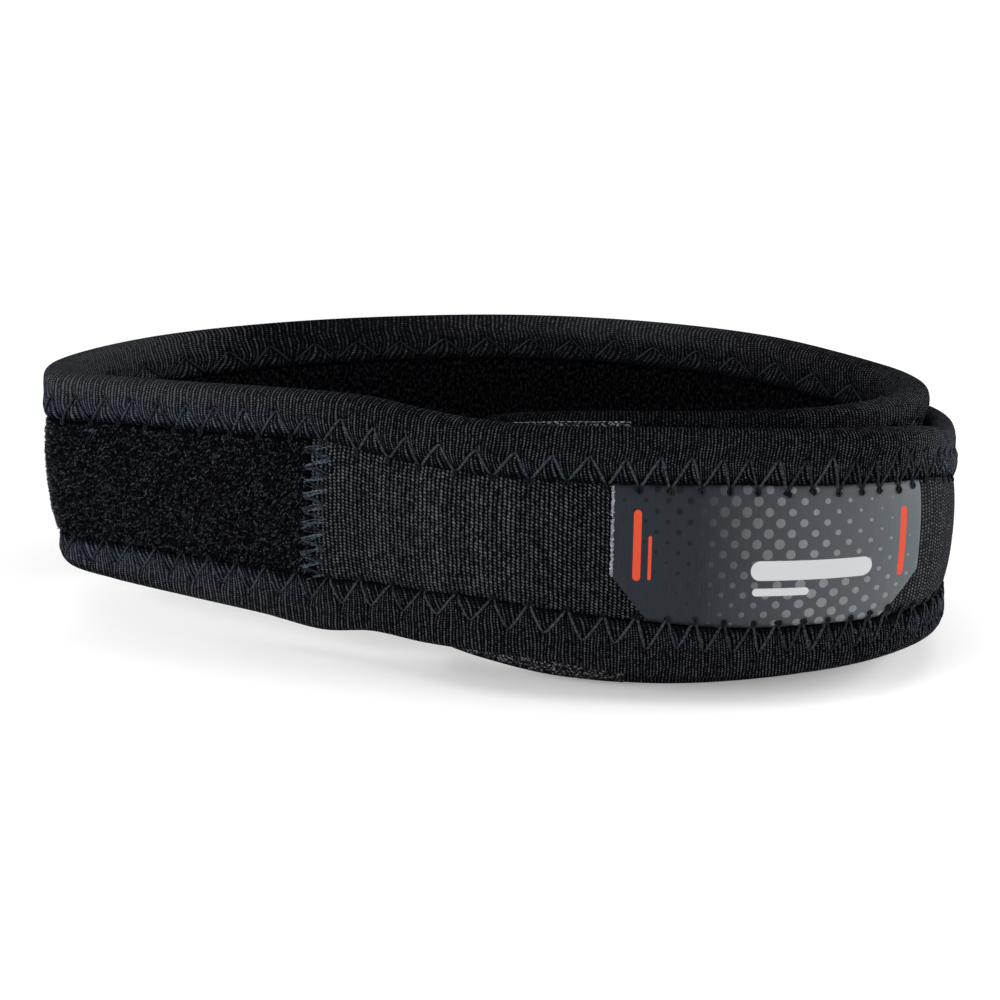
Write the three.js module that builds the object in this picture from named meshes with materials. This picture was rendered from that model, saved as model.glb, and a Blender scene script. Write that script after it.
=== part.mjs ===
// Knee support strap: a padded band wound into an open loop that stands on its lower edge.
// The wide inner end lies at the front. From there the band runs round the right side, the back
// and the left side, and its outer end laps over the inner end at the front, held by hook tape.
// Millimetres, +Z up. The front faces -Y, and the origin is on the floor under the loop's middle.
import * as THREE from "three";

// Across the wall, measured outwards from the band's mid line
const GAP = 0.3;
const FOAM_HALF = 1.45;
const TAPE_WALL = 0.75;
const FACE = FOAM_HALF + GAP;
const TAPE_OUT = FACE + TAPE_WALL;
const LINING_WALL = 0.7;
const PILE_WALL = 0.9;
const PATCH_WALL = 0.5;
const HOOK_WALL = 0.6;

// Up and down the wall
const HEM_INSIDE = 8.5;
const FOAM_INSET = TAPE_WALL + GAP;
const FOAM_CHAMFER = 0.5;
const TAPE_FLAT_HALF = 1.0;
const TAPE_SHOULDER = 1.7;
const TAPE_KNEE = { out: 2.0, down: 0.5 };

// Along the band, measured from its inner end
const HOOK_LENGTH = 31.5;
const PILE_START = 110;
const PILE_END = 335.5;
const PATCH_START = 387;
const PATCH_LENGTH = 48;
const PATCH_CUT = { along: 6, up: 7.5 };
const END_INSET = 1.2;

// How finely the band is cut into flat facets
const LONGEST_FACET = 9;
const CLOSEST_CUTS = 0.8;
const WIDEST_TURN = THREE.MathUtils.degToRad(13);
const TRACE_STEPS = 2400;

// The band's route from its inner end to its outer end, a row for each bend or change of height:
// the mid line's place in plan, then the heights of the lower edge, of the two tapes' hems as the
// outside shows them, and of the upper edge.
const ROUTE = [
  { at: "inner tip", x: -8.0, y: -24.6, low: 3.6, lowHem: 12.0, highHem: 30.5, high: 39.0 },
  { at: "inner tongue", x: -0.8, y: -28.3, low: 2.4, lowHem: 10.4, highHem: 35.6, high: 44.0 },
  { at: "inner front", x: 11.0, y: -31.9, low: 0.8, lowHem: 9.0, highHem: 37.6, high: 45.8 },
  { at: "inner front", x: 28.0, y: -33.5, low: 0.0, lowHem: 8.8, highHem: 38.0, high: 46.2 },
  { at: "inner front", x: 45.5, y: -31.9, low: 0.3, lowHem: 8.8, highHem: 37.8, high: 46.0 },
  { at: "inner corner", x: 58.5, y: -27.8, low: 0.6, lowHem: 9.0, highHem: 37.8, high: 46.0 },
  { at: "inner corner", x: 66.6, y: -22.1, low: 0.4, lowHem: 9.0, highHem: 37.8, high: 46.0 },
  { at: "right turn", x: 70.9, y: -14.0, low: 0.2, lowHem: 8.9, highHem: 38.0, high: 46.0 },
  { at: "right turn", x: 70.5, y: -5.2, low: 0.0, lowHem: 8.8, highHem: 38.2, high: 45.9 },
  { at: "back right", x: 65.0, y: 4.4, low: 0.0, lowHem: 8.8, highHem: 38.2, high: 46.2 },
  { at: "back right", x: 51.5, y: 19.6, low: 0.0, lowHem: 8.8, highHem: 38.2, high: 46.9 },
  { at: "back", x: 30.0, y: 34.5, low: 0.0, lowHem: 8.8, highHem: 38.2, high: 46.6 },
  { at: "back", x: 5.0, y: 41.8, low: 0.0, lowHem: 8.8, highHem: 38.2, high: 46.4 },
  { at: "back", x: -19.5, y: 40.3, low: 0.0, lowHem: 9.0, highHem: 38.2, high: 46.4 },
  { at: "back left", x: -43.0, y: 33.8, low: 0.4, lowHem: 10.2, highHem: 38.2, high: 46.4 },
  { at: "back left", x: -62.5, y: 22.6, low: 4.2, lowHem: 13.0, highHem: 38.0, high: 46.4 },
  { at: "left turn", x: -73.2, y: 9.8, low: 8.6, lowHem: 15.8, highHem: 37.7, high: 46.4 },
  { at: "left turn", x: -76.7, y: -0.2, low: 11.0, lowHem: 16.6, highHem: 37.6, high: 46.4 },
  { at: "left turn", x: -74.2, y: -7.2, low: 10.6, lowHem: 16.8, highHem: 38.4, high: 46.4 },
  { at: "front left", x: -65.9, y: -10.5, low: 9.3, lowHem: 16.7, highHem: 38.8, high: 46.4 },
  { at: "front left", x: -52.4, y: -15.0, low: 7.9, lowHem: 16.1, highHem: 38.9, high: 46.5 },
  { at: "front left", x: -38.9, y: -19.5, low: 6.6, lowHem: 15.5, highHem: 39.2, high: 46.8 },
  { at: "pile seam", x: -28.4, y: -22.9, low: 5.1, lowHem: 15.0, highHem: 39.3, high: 46.9 },
  { at: "step", x: -19.4, y: -26.7, low: 6.4, lowHem: 15.6, highHem: 38.3, high: 46.8 },
  { at: "step", x: -10.4, y: -31.7, low: 6.5, lowHem: 16.1, highHem: 37.6, high: 46.0 },
  { at: "step", x: -0.9, y: -36.4, low: 7.0, lowHem: 16.8, highHem: 37.4, high: 45.6 },
  { at: "outer front", x: 10.1, y: -39.5, low: 6.6, lowHem: 16.0, highHem: 37.3, high: 45.5 },
  { at: "outer front", x: 23.1, y: -40.6, low: 4.8, lowHem: 14.6, highHem: 37.2, high: 45.6 },
  { at: "outer front", x: 37.1, y: -41.4, low: 4.8, lowHem: 13.7, highHem: 37.4, high: 45.6 },
  { at: "outer front", x: 50.1, y: -41.4, low: 5.7, lowHem: 14.2, highHem: 37.3, high: 45.6 },
  { at: "outer corner", x: 60.6, y: -38.8, low: 6.7, lowHem: 14.4, highHem: 37.0, high: 45.2 },
  { at: "outer corner", x: 68.8, y: -33.3, low: 7.1, lowHem: 14.2, highHem: 35.8, high: 43.8 },
  { at: "outer corner", x: 73.8, y: -25.2, low: 6.4, lowHem: 13.3, highHem: 33.4, high: 41.2 },
  { at: "right lap", x: 76.3, y: -15.0, low: 5.3, lowHem: 12.4, highHem: 32.6, high: 40.6 },
  { at: "right lap", x: 76.0, y: -4.6, low: 4.6, lowHem: 12.2, highHem: 31.8, high: 39.8 },
  { at: "outer tail", x: 71.6, y: 5.4, low: 4.6, lowHem: 12.6, highHem: 31.2, high: 39.2 },
  { at: "outer tail", x: 66.0, y: 13.6, low: 5.0, lowHem: 12.8, highHem: 30.8, high: 38.8 },
  { at: "outer tip", x: 60.4, y: 20.4, low: 7.5, lowHem: 14.5, highHem: 29.5, high: 36.5 },
];

const plan = new THREE.CatmullRomCurve3(ROUTE.map((row) => new THREE.Vector3(row.x, row.y, 0)));
const heightCurve = (pair) => new THREE.CatmullRomCurve3(ROUTE.map(pair), false, "catmullrom");
const lowerHeights = heightCurve((row) => new THREE.Vector3(row.low, row.lowHem, 0));
const upperHeights = heightCurve((row) => new THREE.Vector3(row.highHem, row.high, 0));

// Distance along the band at each of many even steps of the route's parameter
const trace = [{ t: 0, distance: 0, point: plan.getPoint(0) }];
for (let step = 1; step <= TRACE_STEPS; step += 1) {
  const t = step / TRACE_STEPS;
  const point = plan.getPoint(t);
  const last = trace[step - 1];
  trace.push({ t, distance: last.distance + point.distanceTo(last.point), point });
}
const BAND_LENGTH = trace[TRACE_STEPS].distance;

// The band's frame at a distance along it: mid point, outward direction and edge heights
function stationAt(distance) {
  const wanted = THREE.MathUtils.clamp(distance, 0, BAND_LENGTH);
  const after = Math.max(1, trace.findIndex((mark) => mark.distance >= wanted));
  const [near, far] = [trace[after - 1], trace[after]];
  const share = (wanted - near.distance) / (far.distance - near.distance);
  const t = THREE.MathUtils.lerp(near.t, far.t, share);
  const way = plan.getTangent(t);
  const lower = lowerHeights.getPoint(t);
  const upper = upperHeights.getPoint(t);
  return {
    mid: plan.getPoint(t),
    out: new THREE.Vector3(way.y, -way.x, 0).normalize(),
    low: Math.max(0, lower.x),
    lowHem: lower.y,
    highHem: upper.x,
    high: upper.y,
  };
}

// Cuts along the band: close together where it turns, further apart where it runs straight
const CUTS = [0];
let room = 0;
for (let step = 1; step < TRACE_STEPS; step += 1) {
  const [before, here] = [trace[step - 1], trace[step]];
  const turn = plan.getTangent(before.t).angleTo(plan.getTangent(here.t));
  room += (here.distance - before.distance) / LONGEST_FACET + turn / WIDEST_TURN;
  if (room >= 1) {
    CUTS.push(here.distance);
    room = 0;
  }
}

// Distances from start to end at which a piece has a section; extra ones mark its own corners
function stopsBetween(start, end, extra = []) {
  const fixed = [start, ...extra, end];
  const free = CUTS.filter((cut) => cut > start && cut < end);
  const spaced = free.filter((cut) => fixed.every((mark) => Math.abs(mark - cut) > CLOSEST_CUTS));
  return [...fixed, ...spaced].sort((a, b) => a - b);
}

// A closed solid along the band. profileAt gives the section at a station as a loop of points
// (outward offset, height), listed anticlockwise with the outside of the band on the right.
function alongBand(stops, profileAt) {
  const sections = stops.map((distance) => {
    const station = stationAt(distance);
    return profileAt(station, distance).map(([offset, height]) =>
      station.mid.clone().addScaledVector(station.out, offset).setZ(height),
    );
  });
  const count = sections[0].length;
  const last = sections.length - 1;
  const faces = [];
  for (let row = 0; row < last; row += 1) {
    for (let side = 0; side < count; side += 1) {
      const next = (side + 1) % count;
      const [a, b] = [row * count + side, row * count + next];
      const [c, d] = [b + count, a + count];
      faces.push(a, d, b, b, d, c);
    }
  }
  for (const row of [0, last]) {
    const flat = profileAt(stationAt(stops[row]), stops[row]).map(([u, v]) => new THREE.Vector2(u, v));
    for (const [a, b, c] of THREE.ShapeUtils.triangulateShape(flat, [])) {
      const corner = row === 0 ? [a, b, c] : [a, c, b];
      faces.push(...corner.map((index) => row * count + index));
    }
  }
  const geometry = new THREE.BufferGeometry().setFromPoints(sections.flat());
  geometry.setIndex(faces);
  geometry.computeVertexNormals();
  return geometry;
}

// A flat layer on the band between two offsets and two heights
function layer(inner, outer, bottom, top) {
  return [[inner, bottom], [outer, bottom], [outer, top], [inner, top]];
}

// Tape folded over an edge: a flat with round shoulders outside, and a channel for the foam.
// side is 1 on the upper edge and -1 on the lower one.
function foldedTape(edge, hemOutside, hemInside, side) {
  const depth = (amount) => edge - side * amount;
  const loop = [
    [TAPE_OUT, hemOutside],
    [TAPE_OUT, depth(TAPE_SHOULDER)],
    [TAPE_KNEE.out, depth(TAPE_KNEE.down)],
    [TAPE_FLAT_HALF, edge],
    [-TAPE_FLAT_HALF, edge],
    [-TAPE_KNEE.out, depth(TAPE_KNEE.down)],
    [-TAPE_OUT, depth(TAPE_SHOULDER)],
    [-TAPE_OUT, hemInside],
    [-FACE, hemInside],
    [-FACE, depth(TAPE_WALL)],
    [FACE, depth(TAPE_WALL)],
    [FACE, hemOutside],
  ];
  return side > 0 ? loop : loop.reverse();
}

// The foam band with its knitted face
function bandGeometry() {
  return alongBand(stopsBetween(0, BAND_LENGTH), ({ low, high }) => {
    const [bottom, top] = [low + FOAM_INSET, high - FOAM_INSET];
    const round = FOAM_HALF - FOAM_CHAMFER;
    return [
      [-round, bottom],
      [round, bottom],
      [FOAM_HALF, bottom + FOAM_CHAMFER],
      [FOAM_HALF, top - FOAM_CHAMFER],
      [round, top],
      [-round, top],
      [-FOAM_HALF, top - FOAM_CHAMFER],
      [-FOAM_HALF, bottom + FOAM_CHAMFER],
    ];
  });
}

function upperBindingGeometry() {
  return alongBand(stopsBetween(0, BAND_LENGTH), ({ highHem, high }) =>
    foldedTape(high, highHem, high - HEM_INSIDE, 1),
  );
}

function lowerBindingGeometry() {
  return alongBand(stopsBetween(0, BAND_LENGTH), ({ low, lowHem }) =>
    foldedTape(low, lowHem, low + HEM_INSIDE, -1),
  );
}

// Brushed fabric inside the band, between the inside hems
function liningGeometry() {
  return alongBand(stopsBetween(END_INSET, BAND_LENGTH - END_INSET), ({ low, high }) =>
    layer(-FACE - LINING_WALL, -FACE, low + HEM_INSIDE + GAP, high - HEM_INSIDE - GAP),
  );
}

// Looped pile on the outside, from the back round the left turn to the seam at the front
function pileGeometry() {
  return alongBand(stopsBetween(PILE_START, PILE_END), ({ lowHem, highHem }) =>
    layer(FACE, FACE + PILE_WALL, lowHem + GAP, highHem - GAP),
  );
}

// Satin patch on the outer end, whose two lower corners are cut off
function patchGeometry() {
  const end = PATCH_START + PATCH_LENGTH;
  const corners = [PATCH_START + PATCH_CUT.along, end - PATCH_CUT.along];
  return alongBand(stopsBetween(PATCH_START, end, corners), ({ lowHem, highHem }, distance) => {
    const inside = Math.min(distance - PATCH_START, end - distance);
    const cut = PATCH_CUT.up * Math.max(0, 1 - inside / PATCH_CUT.along);
    return layer(FACE, FACE + PATCH_WALL, lowHem + GAP + cut, highHem - GAP);
  });
}

// Hook tape on the outside of the inner end, over its two bindings
function hookGeometry() {
  return alongBand(stopsBetween(END_INSET, HOOK_LENGTH), ({ low, high }) =>
    layer(TAPE_OUT + GAP, TAPE_OUT + GAP + HOOK_WALL, low + GAP, high - TAPE_SHOULDER),
  );
}

const knit = { color: 0x17191c, roughness: 0.85, metalness: 0 };
const pieces = [
  { name: "band", geometry: bandGeometry(), finish: { ...knit, color: 0x202426 } },
  { name: "upper_binding", geometry: upperBindingGeometry(), finish: knit },
  { name: "lower_binding", geometry: lowerBindingGeometry(), finish: knit },
  { name: "lining", geometry: liningGeometry(), finish: { ...knit, color: 0x0c0d0f, roughness: 0.95 } },
  { name: "pile_panel", geometry: pileGeometry(), finish: { ...knit, color: 0x111215, roughness: 0.95 } },
  { name: "label_patch", geometry: patchGeometry(), finish: { ...knit, color: 0x3a3d44, roughness: 0.5 } },
  { name: "hook_tab", geometry: hookGeometry(), finish: { ...knit, color: 0x5c5f64, roughness: 0.7 } },
];

const strap = new THREE.Group();
strap.name = "knee_support_strap";
for (const { name, geometry, finish } of pieces) {
  const mesh = new THREE.Mesh(geometry, new THREE.MeshStandardMaterial(finish));
  mesh.name = name;
  strap.add(mesh);
}

export default strap;
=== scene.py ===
"""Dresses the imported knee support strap: knit face, lining, pile, patch, hook tape, bindings, stitches."""
from functools import partial

import bpy
import numpy as np
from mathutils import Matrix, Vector


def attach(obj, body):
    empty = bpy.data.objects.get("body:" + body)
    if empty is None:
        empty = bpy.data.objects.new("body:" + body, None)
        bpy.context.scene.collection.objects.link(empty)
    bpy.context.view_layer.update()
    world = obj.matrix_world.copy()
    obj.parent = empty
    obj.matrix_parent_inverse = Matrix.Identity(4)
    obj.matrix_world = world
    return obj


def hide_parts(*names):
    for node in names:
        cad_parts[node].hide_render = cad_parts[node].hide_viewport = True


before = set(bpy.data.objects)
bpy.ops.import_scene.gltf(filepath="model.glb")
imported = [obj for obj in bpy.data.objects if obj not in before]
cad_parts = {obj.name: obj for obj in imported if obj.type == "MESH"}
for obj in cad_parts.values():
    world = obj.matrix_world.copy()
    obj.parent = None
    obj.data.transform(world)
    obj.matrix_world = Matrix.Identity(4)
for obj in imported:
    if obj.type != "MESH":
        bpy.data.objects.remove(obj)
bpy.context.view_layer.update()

# Studio: a pale floor that runs out of sight under a white surround, a large soft light on each side
# and one overhead. The camera stands in front and looks down on the strap by 18.4 degrees.
CAMERA_PLACE = (0.00145, -0.2605, 0.1072)
CAMERA_DOWN = np.radians(18.4)
CAMERA_LENS = 54
CAMERA_NEAREST = 0.01
WHITE = (1, 1, 1, 1)
SURROUND = 0.4
FLOOR_REACH = 60.0
FLOOR_TONES = ((0.88, 0.88, 0.88, 1), (0.92, 0.92, 0.92, 1))
FLOOR_MOTTLE = 3.0
FLOOR_GLOW = (0.2, 0.72)
GLOW_REACH = (0.2, 0.9)
SOFT_LIGHTS = {
    "left_softbox": {"place": (-0.36, -0.28, 0.17), "aim": (-0.07, 0, 0.03), "size": 0.25, "watts": 1.9},
    "right_softbox": {"place": (0.6, -0.08, 0.22), "aim": (0.06, 0, 0.02), "size": 0.45, "watts": 4.2},
    "overhead_softbox": {"place": (0, -0.1, 0.8), "aim": (0, 0, 0), "size": 0.7, "watts": 1.6},
}


def add(tree, kind, sockets=None, **settings):
    """Adds a node with these settings, and fills its inputs: a socket is linked, a plain value is set."""
    node = tree.nodes.new(kind)
    for name, value in settings.items():
        setattr(node, name, value)
    for key, value in (sockets or {}).items():
        if isinstance(value, bpy.types.NodeSocket):
            tree.links.new(value, node.inputs[key])
        else:
            node.inputs[key].default_value = value
    return node


def finish(name, even):
    """A material whose Principled shader has these even values, with its node tree and its shader."""
    material = bpy.data.materials.new(name)
    material.use_nodes = True
    shader = material.node_tree.nodes["Principled BSDF"]
    for label, value in even.items():
        shader.inputs[label].default_value = value
    return material, material.node_tree, shader


def feed(shader, label, socket):
    """Links a socket to the input of a shader that has this label."""
    shader.id_data.links.new(socket, shader.inputs[label])


def blend(tree, share, first, second, blend_type="MIX"):
    """Colour socket between two colours: share 0 gives the first, 1 the second, or the two multiplied."""
    sockets = {0: share, 6: first, 7: second}
    return add(tree, "ShaderNodeMix", sockets, data_type="RGBA", blend_type=blend_type).outputs[2]


def ramp(tree, value, start, end, low=0.0, high=1.0):
    """Socket that goes evenly from low, where the value is start, to high, where it is end."""
    sockets = {"Value": value, "From Min": start, "From Max": end, "To Min": low, "To Max": high}
    return add(tree, "ShaderNodeMapRange", sockets).outputs["Result"]


def noise(tree, vector, scale, detail=2.0, roughness=0.5):
    """Socket of a cloudy noise on a vector, mostly between 0.3 and 0.7."""
    sockets = {"Vector": vector, "Scale": scale, "Detail": detail, "Roughness": roughness}
    return add(tree, "ShaderNodeTexNoise", sockets).outputs["Fac"]


def vector_work(tree, operation, *values):
    """Output socket of a Vector Math node on these values or sockets, a plain value for a length."""
    node = add(tree, "ShaderNodeVectorMath", dict(enumerate(values)), operation=operation)
    return node.outputs["Value" if operation == "LENGTH" else "Vector"]


camera = bpy.data.objects.new("camera", bpy.data.cameras.new("camera"))
camera.data.lens = CAMERA_LENS
camera.data.clip_start = CAMERA_NEAREST
camera.location = CAMERA_PLACE
camera.rotation_euler = (np.pi / 2 - CAMERA_DOWN, 0, 0)
bpy.context.collection.objects.link(camera)
bpy.context.scene.camera = camera
bpy.context.scene.view_settings.view_transform = "Standard"

for light_name, lamp in SOFT_LIGHTS.items():
    light = bpy.data.objects.new(light_name, bpy.data.lights.new(light_name, "AREA"))
    light.data.size = lamp["size"]
    light.data.energy = lamp["watts"]
    light.location = lamp["place"]
    aim = Vector(lamp["aim"]) - Vector(lamp["place"])
    light.rotation_euler = aim.to_track_quat("-Z", "Y").to_euler()
    bpy.context.collection.objects.link(light)

surround = bpy.data.worlds.new("white_surround")
surround.use_nodes = True
backing = surround.node_tree.nodes["Background"]
backing.inputs["Color"].default_value = WHITE
seen = add(surround.node_tree, "ShaderNodeLightPath").outputs["Is Camera Ray"]
feed(backing, "Strength", ramp(surround.node_tree, seen, 0.0, 1.0, SURROUND, 1.0))
bpy.context.scene.world = surround

floor_finish, floor_tree, floor_shader = finish("pale_floor", {"Roughness": 0.9, "Emission Color": WHITE})
floor_spot = add(floor_tree, "ShaderNodeTexCoord").outputs["Object"]
floor_tone = blend(floor_tree, noise(floor_tree, floor_spot, FLOOR_MOTTLE), *FLOOR_TONES)
feed(floor_shader, "Base Color", floor_tone)
floor_far = vector_work(floor_tree, "LENGTH", floor_spot)
feed(floor_shader, "Emission Strength", ramp(floor_tree, floor_far, *GLOW_REACH, *FLOOR_GLOW))
floor_mesh = bpy.data.meshes.new("floor")
floor_corners = FLOOR_REACH * np.array([(-1, -1, 0), (1, -1, 0), (1, 1, 0), (-1, 1, 0)])
floor_mesh.from_pydata(floor_corners.tolist(), [], [(0, 1, 2, 3)])
floor_mesh.materials.append(floor_finish)
floor = bpy.data.objects.new("floor", floor_mesh)
bpy.context.collection.objects.link(floor)

# Band: the padded strap itself, soft foam with a fine jersey knit on its outside, cut as one long strip.
# It is wound from its inner end at the front, round the right, the back and the left, to lap over itself.
MM = 0.001
TRACE_STEPS = 2400
BAND_ROWS = 420
FACE_POINTS = 34
BACK_POINTS = 12
FACE_AT_HEM = 1.3
FACE_CROWN = 1.5
BACK_OF_FOAM = -1.5
FOAM_INSET = 1.1
FOAM_SHOULDER = 0.9
SHOULDER_LEAST = 0.4
END_ROUND = 1.6
END_LEAST = 0.15
FACE_KNIT = {"Wale": 0.72, "Course": 0.57, "Slant": 0.2, "Twist": 0.22}
FACE_KNIT |= {"Beads": 0.95, "Wander": 0.3, "Steep": 2.8, "Uneven": 0.75}
# The groove colour is painted shade between the loops
FACE_GROOVE = (0.0004, 0.0005, 0.0006, 1)
FACE_CREST = (0.088, 0.094, 0.103, 1)
# Painted cool tint of the light, multiplied into the knit by the attribute that holds the painted cool light
COOL_LIGHT_TINT = (0.88, 1.0, 1.16, 1)
FOAM_BARE = 0.04
# Noise of the knit: scales of the wander, of the dashes, of the soft cloud and of the fibre specks
WANDER_SCALE = 0.25
DASH_SCALE = 0.9
CLOUD_SCALE = 0.35
SPECK_SCALE = 4.6
LANE_SHIFT = 7.3
# Tones of the knit: at noise of 0.3 and 0.7, or what is added by the noise and what is always there
NOISE_MIDDLE = (0.3, 0.7)
DASH_TONES = (0.65, 1.35)
SPECK_TONES = (0.15, 1.85)
CLOUD_TONES = (0.8, 0.6)
WALE_TONES = (0.4, 0.8)
# Along the band: how far the face is stretched
FACE_STRETCH = [(345, 1.11), (380, 0.97)]
# Along the band: share of the face's tone with painted light, painted haze of light between loops at the
# right end, painted cool tint of the light, and how far loops run together
FACE_LOOKS = {
    "tone_and_painted_light": [(345, 0.72), (360, 0.68), (372, 0.67), (386, 0.68), (437, 0.68)],
    "painted_light_haze": [(425, 0.0), (437, 0.09)],
    "painted_cool_light": [(345, 0.4), (375, 0.3), (395, 0.0)],
    "smoothed": [(345, 0.15), (356, 0.28), (368, 0.28), (382, 0.0)],
}
# Mid line in plan, then the heights of the lower edge, the two hems and the upper edge, in millimetres
ROUTE = np.array([
    (-8.0, -24.6, 3.6, 12.0, 30.5, 39.0),
    (-0.8, -28.3, 2.4, 10.4, 35.6, 44.0),
    (11.0, -31.9, 0.8, 9.0, 37.6, 45.8),
    (28.0, -33.5, 0.0, 8.8, 38.0, 46.2),
    (45.5, -31.9, 0.3, 8.8, 37.8, 46.0),
    (58.5, -27.8, 0.6, 9.0, 37.8, 46.0),
    (66.6, -22.1, 0.4, 9.0, 37.8, 46.0),
    (70.9, -14.0, 0.2, 8.9, 38.0, 46.0),
    (70.5, -5.2, 0.0, 8.8, 38.2, 45.9),
    (65.0, 4.4, 0.0, 8.8, 38.2, 46.2),
    (51.5, 19.6, 0.0, 8.8, 38.2, 46.9),
    (30.0, 34.5, 0.0, 8.8, 38.2, 46.6),
    (5.0, 41.8, 0.0, 8.8, 38.2, 46.4),
    (-19.5, 40.3, 0.0, 9.0, 38.2, 46.4),
    (-43.0, 33.8, 0.4, 10.2, 38.2, 46.4),
    (-62.5, 22.6, 4.2, 13.0, 38.0, 46.4),
    (-73.2, 9.8, 8.6, 15.8, 37.7, 46.4),
    (-76.7, -0.2, 11.0, 16.6, 37.6, 46.4),
    (-74.2, -7.2, 10.6, 16.8, 38.4, 46.4),
    (-65.9, -10.5, 9.3, 16.7, 38.8, 46.4),
    (-52.4, -15.0, 7.9, 16.1, 38.9, 46.5),
    (-38.9, -19.5, 6.6, 15.5, 39.2, 46.8),
    (-28.4, -22.9, 5.1, 15.0, 39.3, 46.9),
    (-19.4, -26.7, 6.4, 15.6, 38.3, 46.8),
    (-10.4, -31.7, 6.5, 16.1, 37.6, 46.0),
    (-0.9, -36.4, 7.0, 16.8, 37.4, 45.6),
    (10.1, -39.5, 6.6, 16.0, 37.3, 45.5),
    (23.1, -40.6, 4.8, 14.6, 37.2, 45.6),
    (37.1, -41.4, 4.8, 13.7, 37.4, 45.6),
    (50.1, -41.4, 5.7, 14.2, 37.3, 45.6),
    (60.6, -38.8, 6.7, 14.4, 37.0, 45.2),
    (68.8, -33.3, 7.1, 14.2, 35.8, 43.8),
    (73.8, -25.2, 6.4, 13.3, 33.4, 41.2),
    (76.3, -15.0, 5.3, 12.4, 32.6, 40.6),
    (76.0, -4.6, 4.6, 12.2, 31.8, 39.8),
    (71.6, 5.4, 4.6, 12.6, 31.2, 39.2),
    (66.0, 13.6, 5.0, 12.8, 30.8, 38.8),
    (60.4, 20.4, 7.5, 14.5, 29.5, 36.5),
])


def spline(marks, power):
    """Catmull-Rom curve through the rows of marks: a cubic between each two, whose slopes at its ends come
    from the neighbours. Spans count by their squared length to this power, so 0 makes them all alike."""
    padded = np.vstack([2 * marks[0] - marks[1], marks, 2 * marks[-1] - marks[-2]])
    along_marks = np.linspace(0, len(marks) - 1, TRACE_STEPS + 1)
    first = np.minimum(along_marks.astype(int), len(marks) - 2)
    w = (along_marks - first)[:, None]
    p0, p1, p2, p3 = (padded[first + step] for step in range(4))
    a, b, c = (((q - p) ** 2).sum(1, keepdims=True) ** power for p, q in ((p0, p1), (p1, p2), (p2, p3)))
    leave = ((p1 - p0) / a - (p2 - p0) / (a + b) + (p2 - p1) / b) * b
    reach = ((p2 - p1) / b - (p3 - p1) / (b + c) + (p3 - p2) / c) * b
    square = 3 * (p2 - p1) - 2 * leave - reach
    cube = 2 * (p1 - p2) + leave + reach
    return p1 + leave * w + square * w**2 + cube * w**3


plan = spline(ROUTE[:, :2], 0.25)
trace = np.concatenate([[0], np.cumsum(np.linalg.norm(np.diff(plan, axis=0), axis=1))])
BAND_LENGTH = trace[-1]
heading = np.gradient(plan, axis=0)
heading /= np.linalg.norm(heading, axis=1, keepdims=True)
traced = dict(zip(("low", "low_hem", "high_hem", "high"), spline(ROUTE[:, 2:], 0).T))
traced["low"] = np.maximum(traced["low"], 0)
traced.update(x=plan[:, 0], y=plan[:, 1], out_x=heading[:, 1], out_y=-heading[:, 0])


def along(name, s):
    """A column of the route at distances s along the band, straight between traced steps."""
    return np.interp(s, trace, traced[name])


def marked(marks, s, column=1):
    """A column of a table at distances s along the band, straight between its rows."""
    table = np.array(marks)
    return np.interp(s, table[:, 0], table[:, column])


def on_band(s, offset, z):
    """Points in metres: the mid line at distance s, moved outwards by offset, at height z (millimetres)."""
    s, offset, z = np.broadcast_arrays(s, offset, z)
    x = along("x", s) + offset * along("out_x", s)
    y = along("y", s) + offset * along("out_y", s)
    return MM * np.stack([x, y, z], axis=-1)


def half_ellipse(share):
    """Rise over a share of the way across: 0 at both sides and 1 midway, by a half ellipse."""
    return np.sqrt(np.clip(4 * share * (1 - share), 0, 1))


def face_offset(s, z):
    """Outward offset of the padded face: least at the two hems and fullest midway, by a half ellipse."""
    share = (z - along("low_hem", s)) / (along("high_hem", s) - along("low_hem", s))
    return FACE_AT_HEM + FACE_CROWN * half_ellipse(share)


def grain_along(s, stretch):
    """Distance along the cloth's own grain at distances s along the band: the sum of the steps over the
    share by which the cloth is stretched there."""
    grain = np.concatenate([[0], np.cumsum(np.diff(trace) / marked(stretch, trace)[1:])])
    return np.interp(s, trace, grain)


def end_share(s):
    """Share of the full thickness that is left near the band's two ends, by a quarter circle."""
    inside = np.clip(np.minimum(s, BAND_LENGTH - s) / END_ROUND, 0, 1)
    return np.maximum(END_LEAST, np.sqrt(1 - (1 - inside) ** 2))


def put_mesh(name, points, faces, corner_map, material):
    """A smooth mesh object from points (n, 3), arrays of faces and one map pair for each face corner."""
    corners = np.concatenate([group.ravel() for group in faces])
    sizes = np.concatenate([np.full(len(group), group.shape[1]) for group in faces])
    mesh = bpy.data.meshes.new(name)
    mesh.vertices.add(len(points))
    mesh.vertices.foreach_set("co", points.ravel())
    mesh.loops.add(len(corners))
    mesh.loops.foreach_set("vertex_index", corners)
    mesh.polygons.add(len(sizes))
    mesh.polygons.foreach_set("loop_start", np.cumsum(sizes) - sizes)
    mesh.polygons.foreach_set("use_smooth", np.ones(len(sizes), bool))
    layer = mesh.uv_layers.new(name="grain")
    layer.uv.foreach_set("vector", corner_map.ravel())
    mesh.update(calc_edges=True)
    mesh.materials.append(material)
    piece = bpy.data.objects.new(name, mesh)
    bpy.context.collection.objects.link(piece)
    return piece


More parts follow.
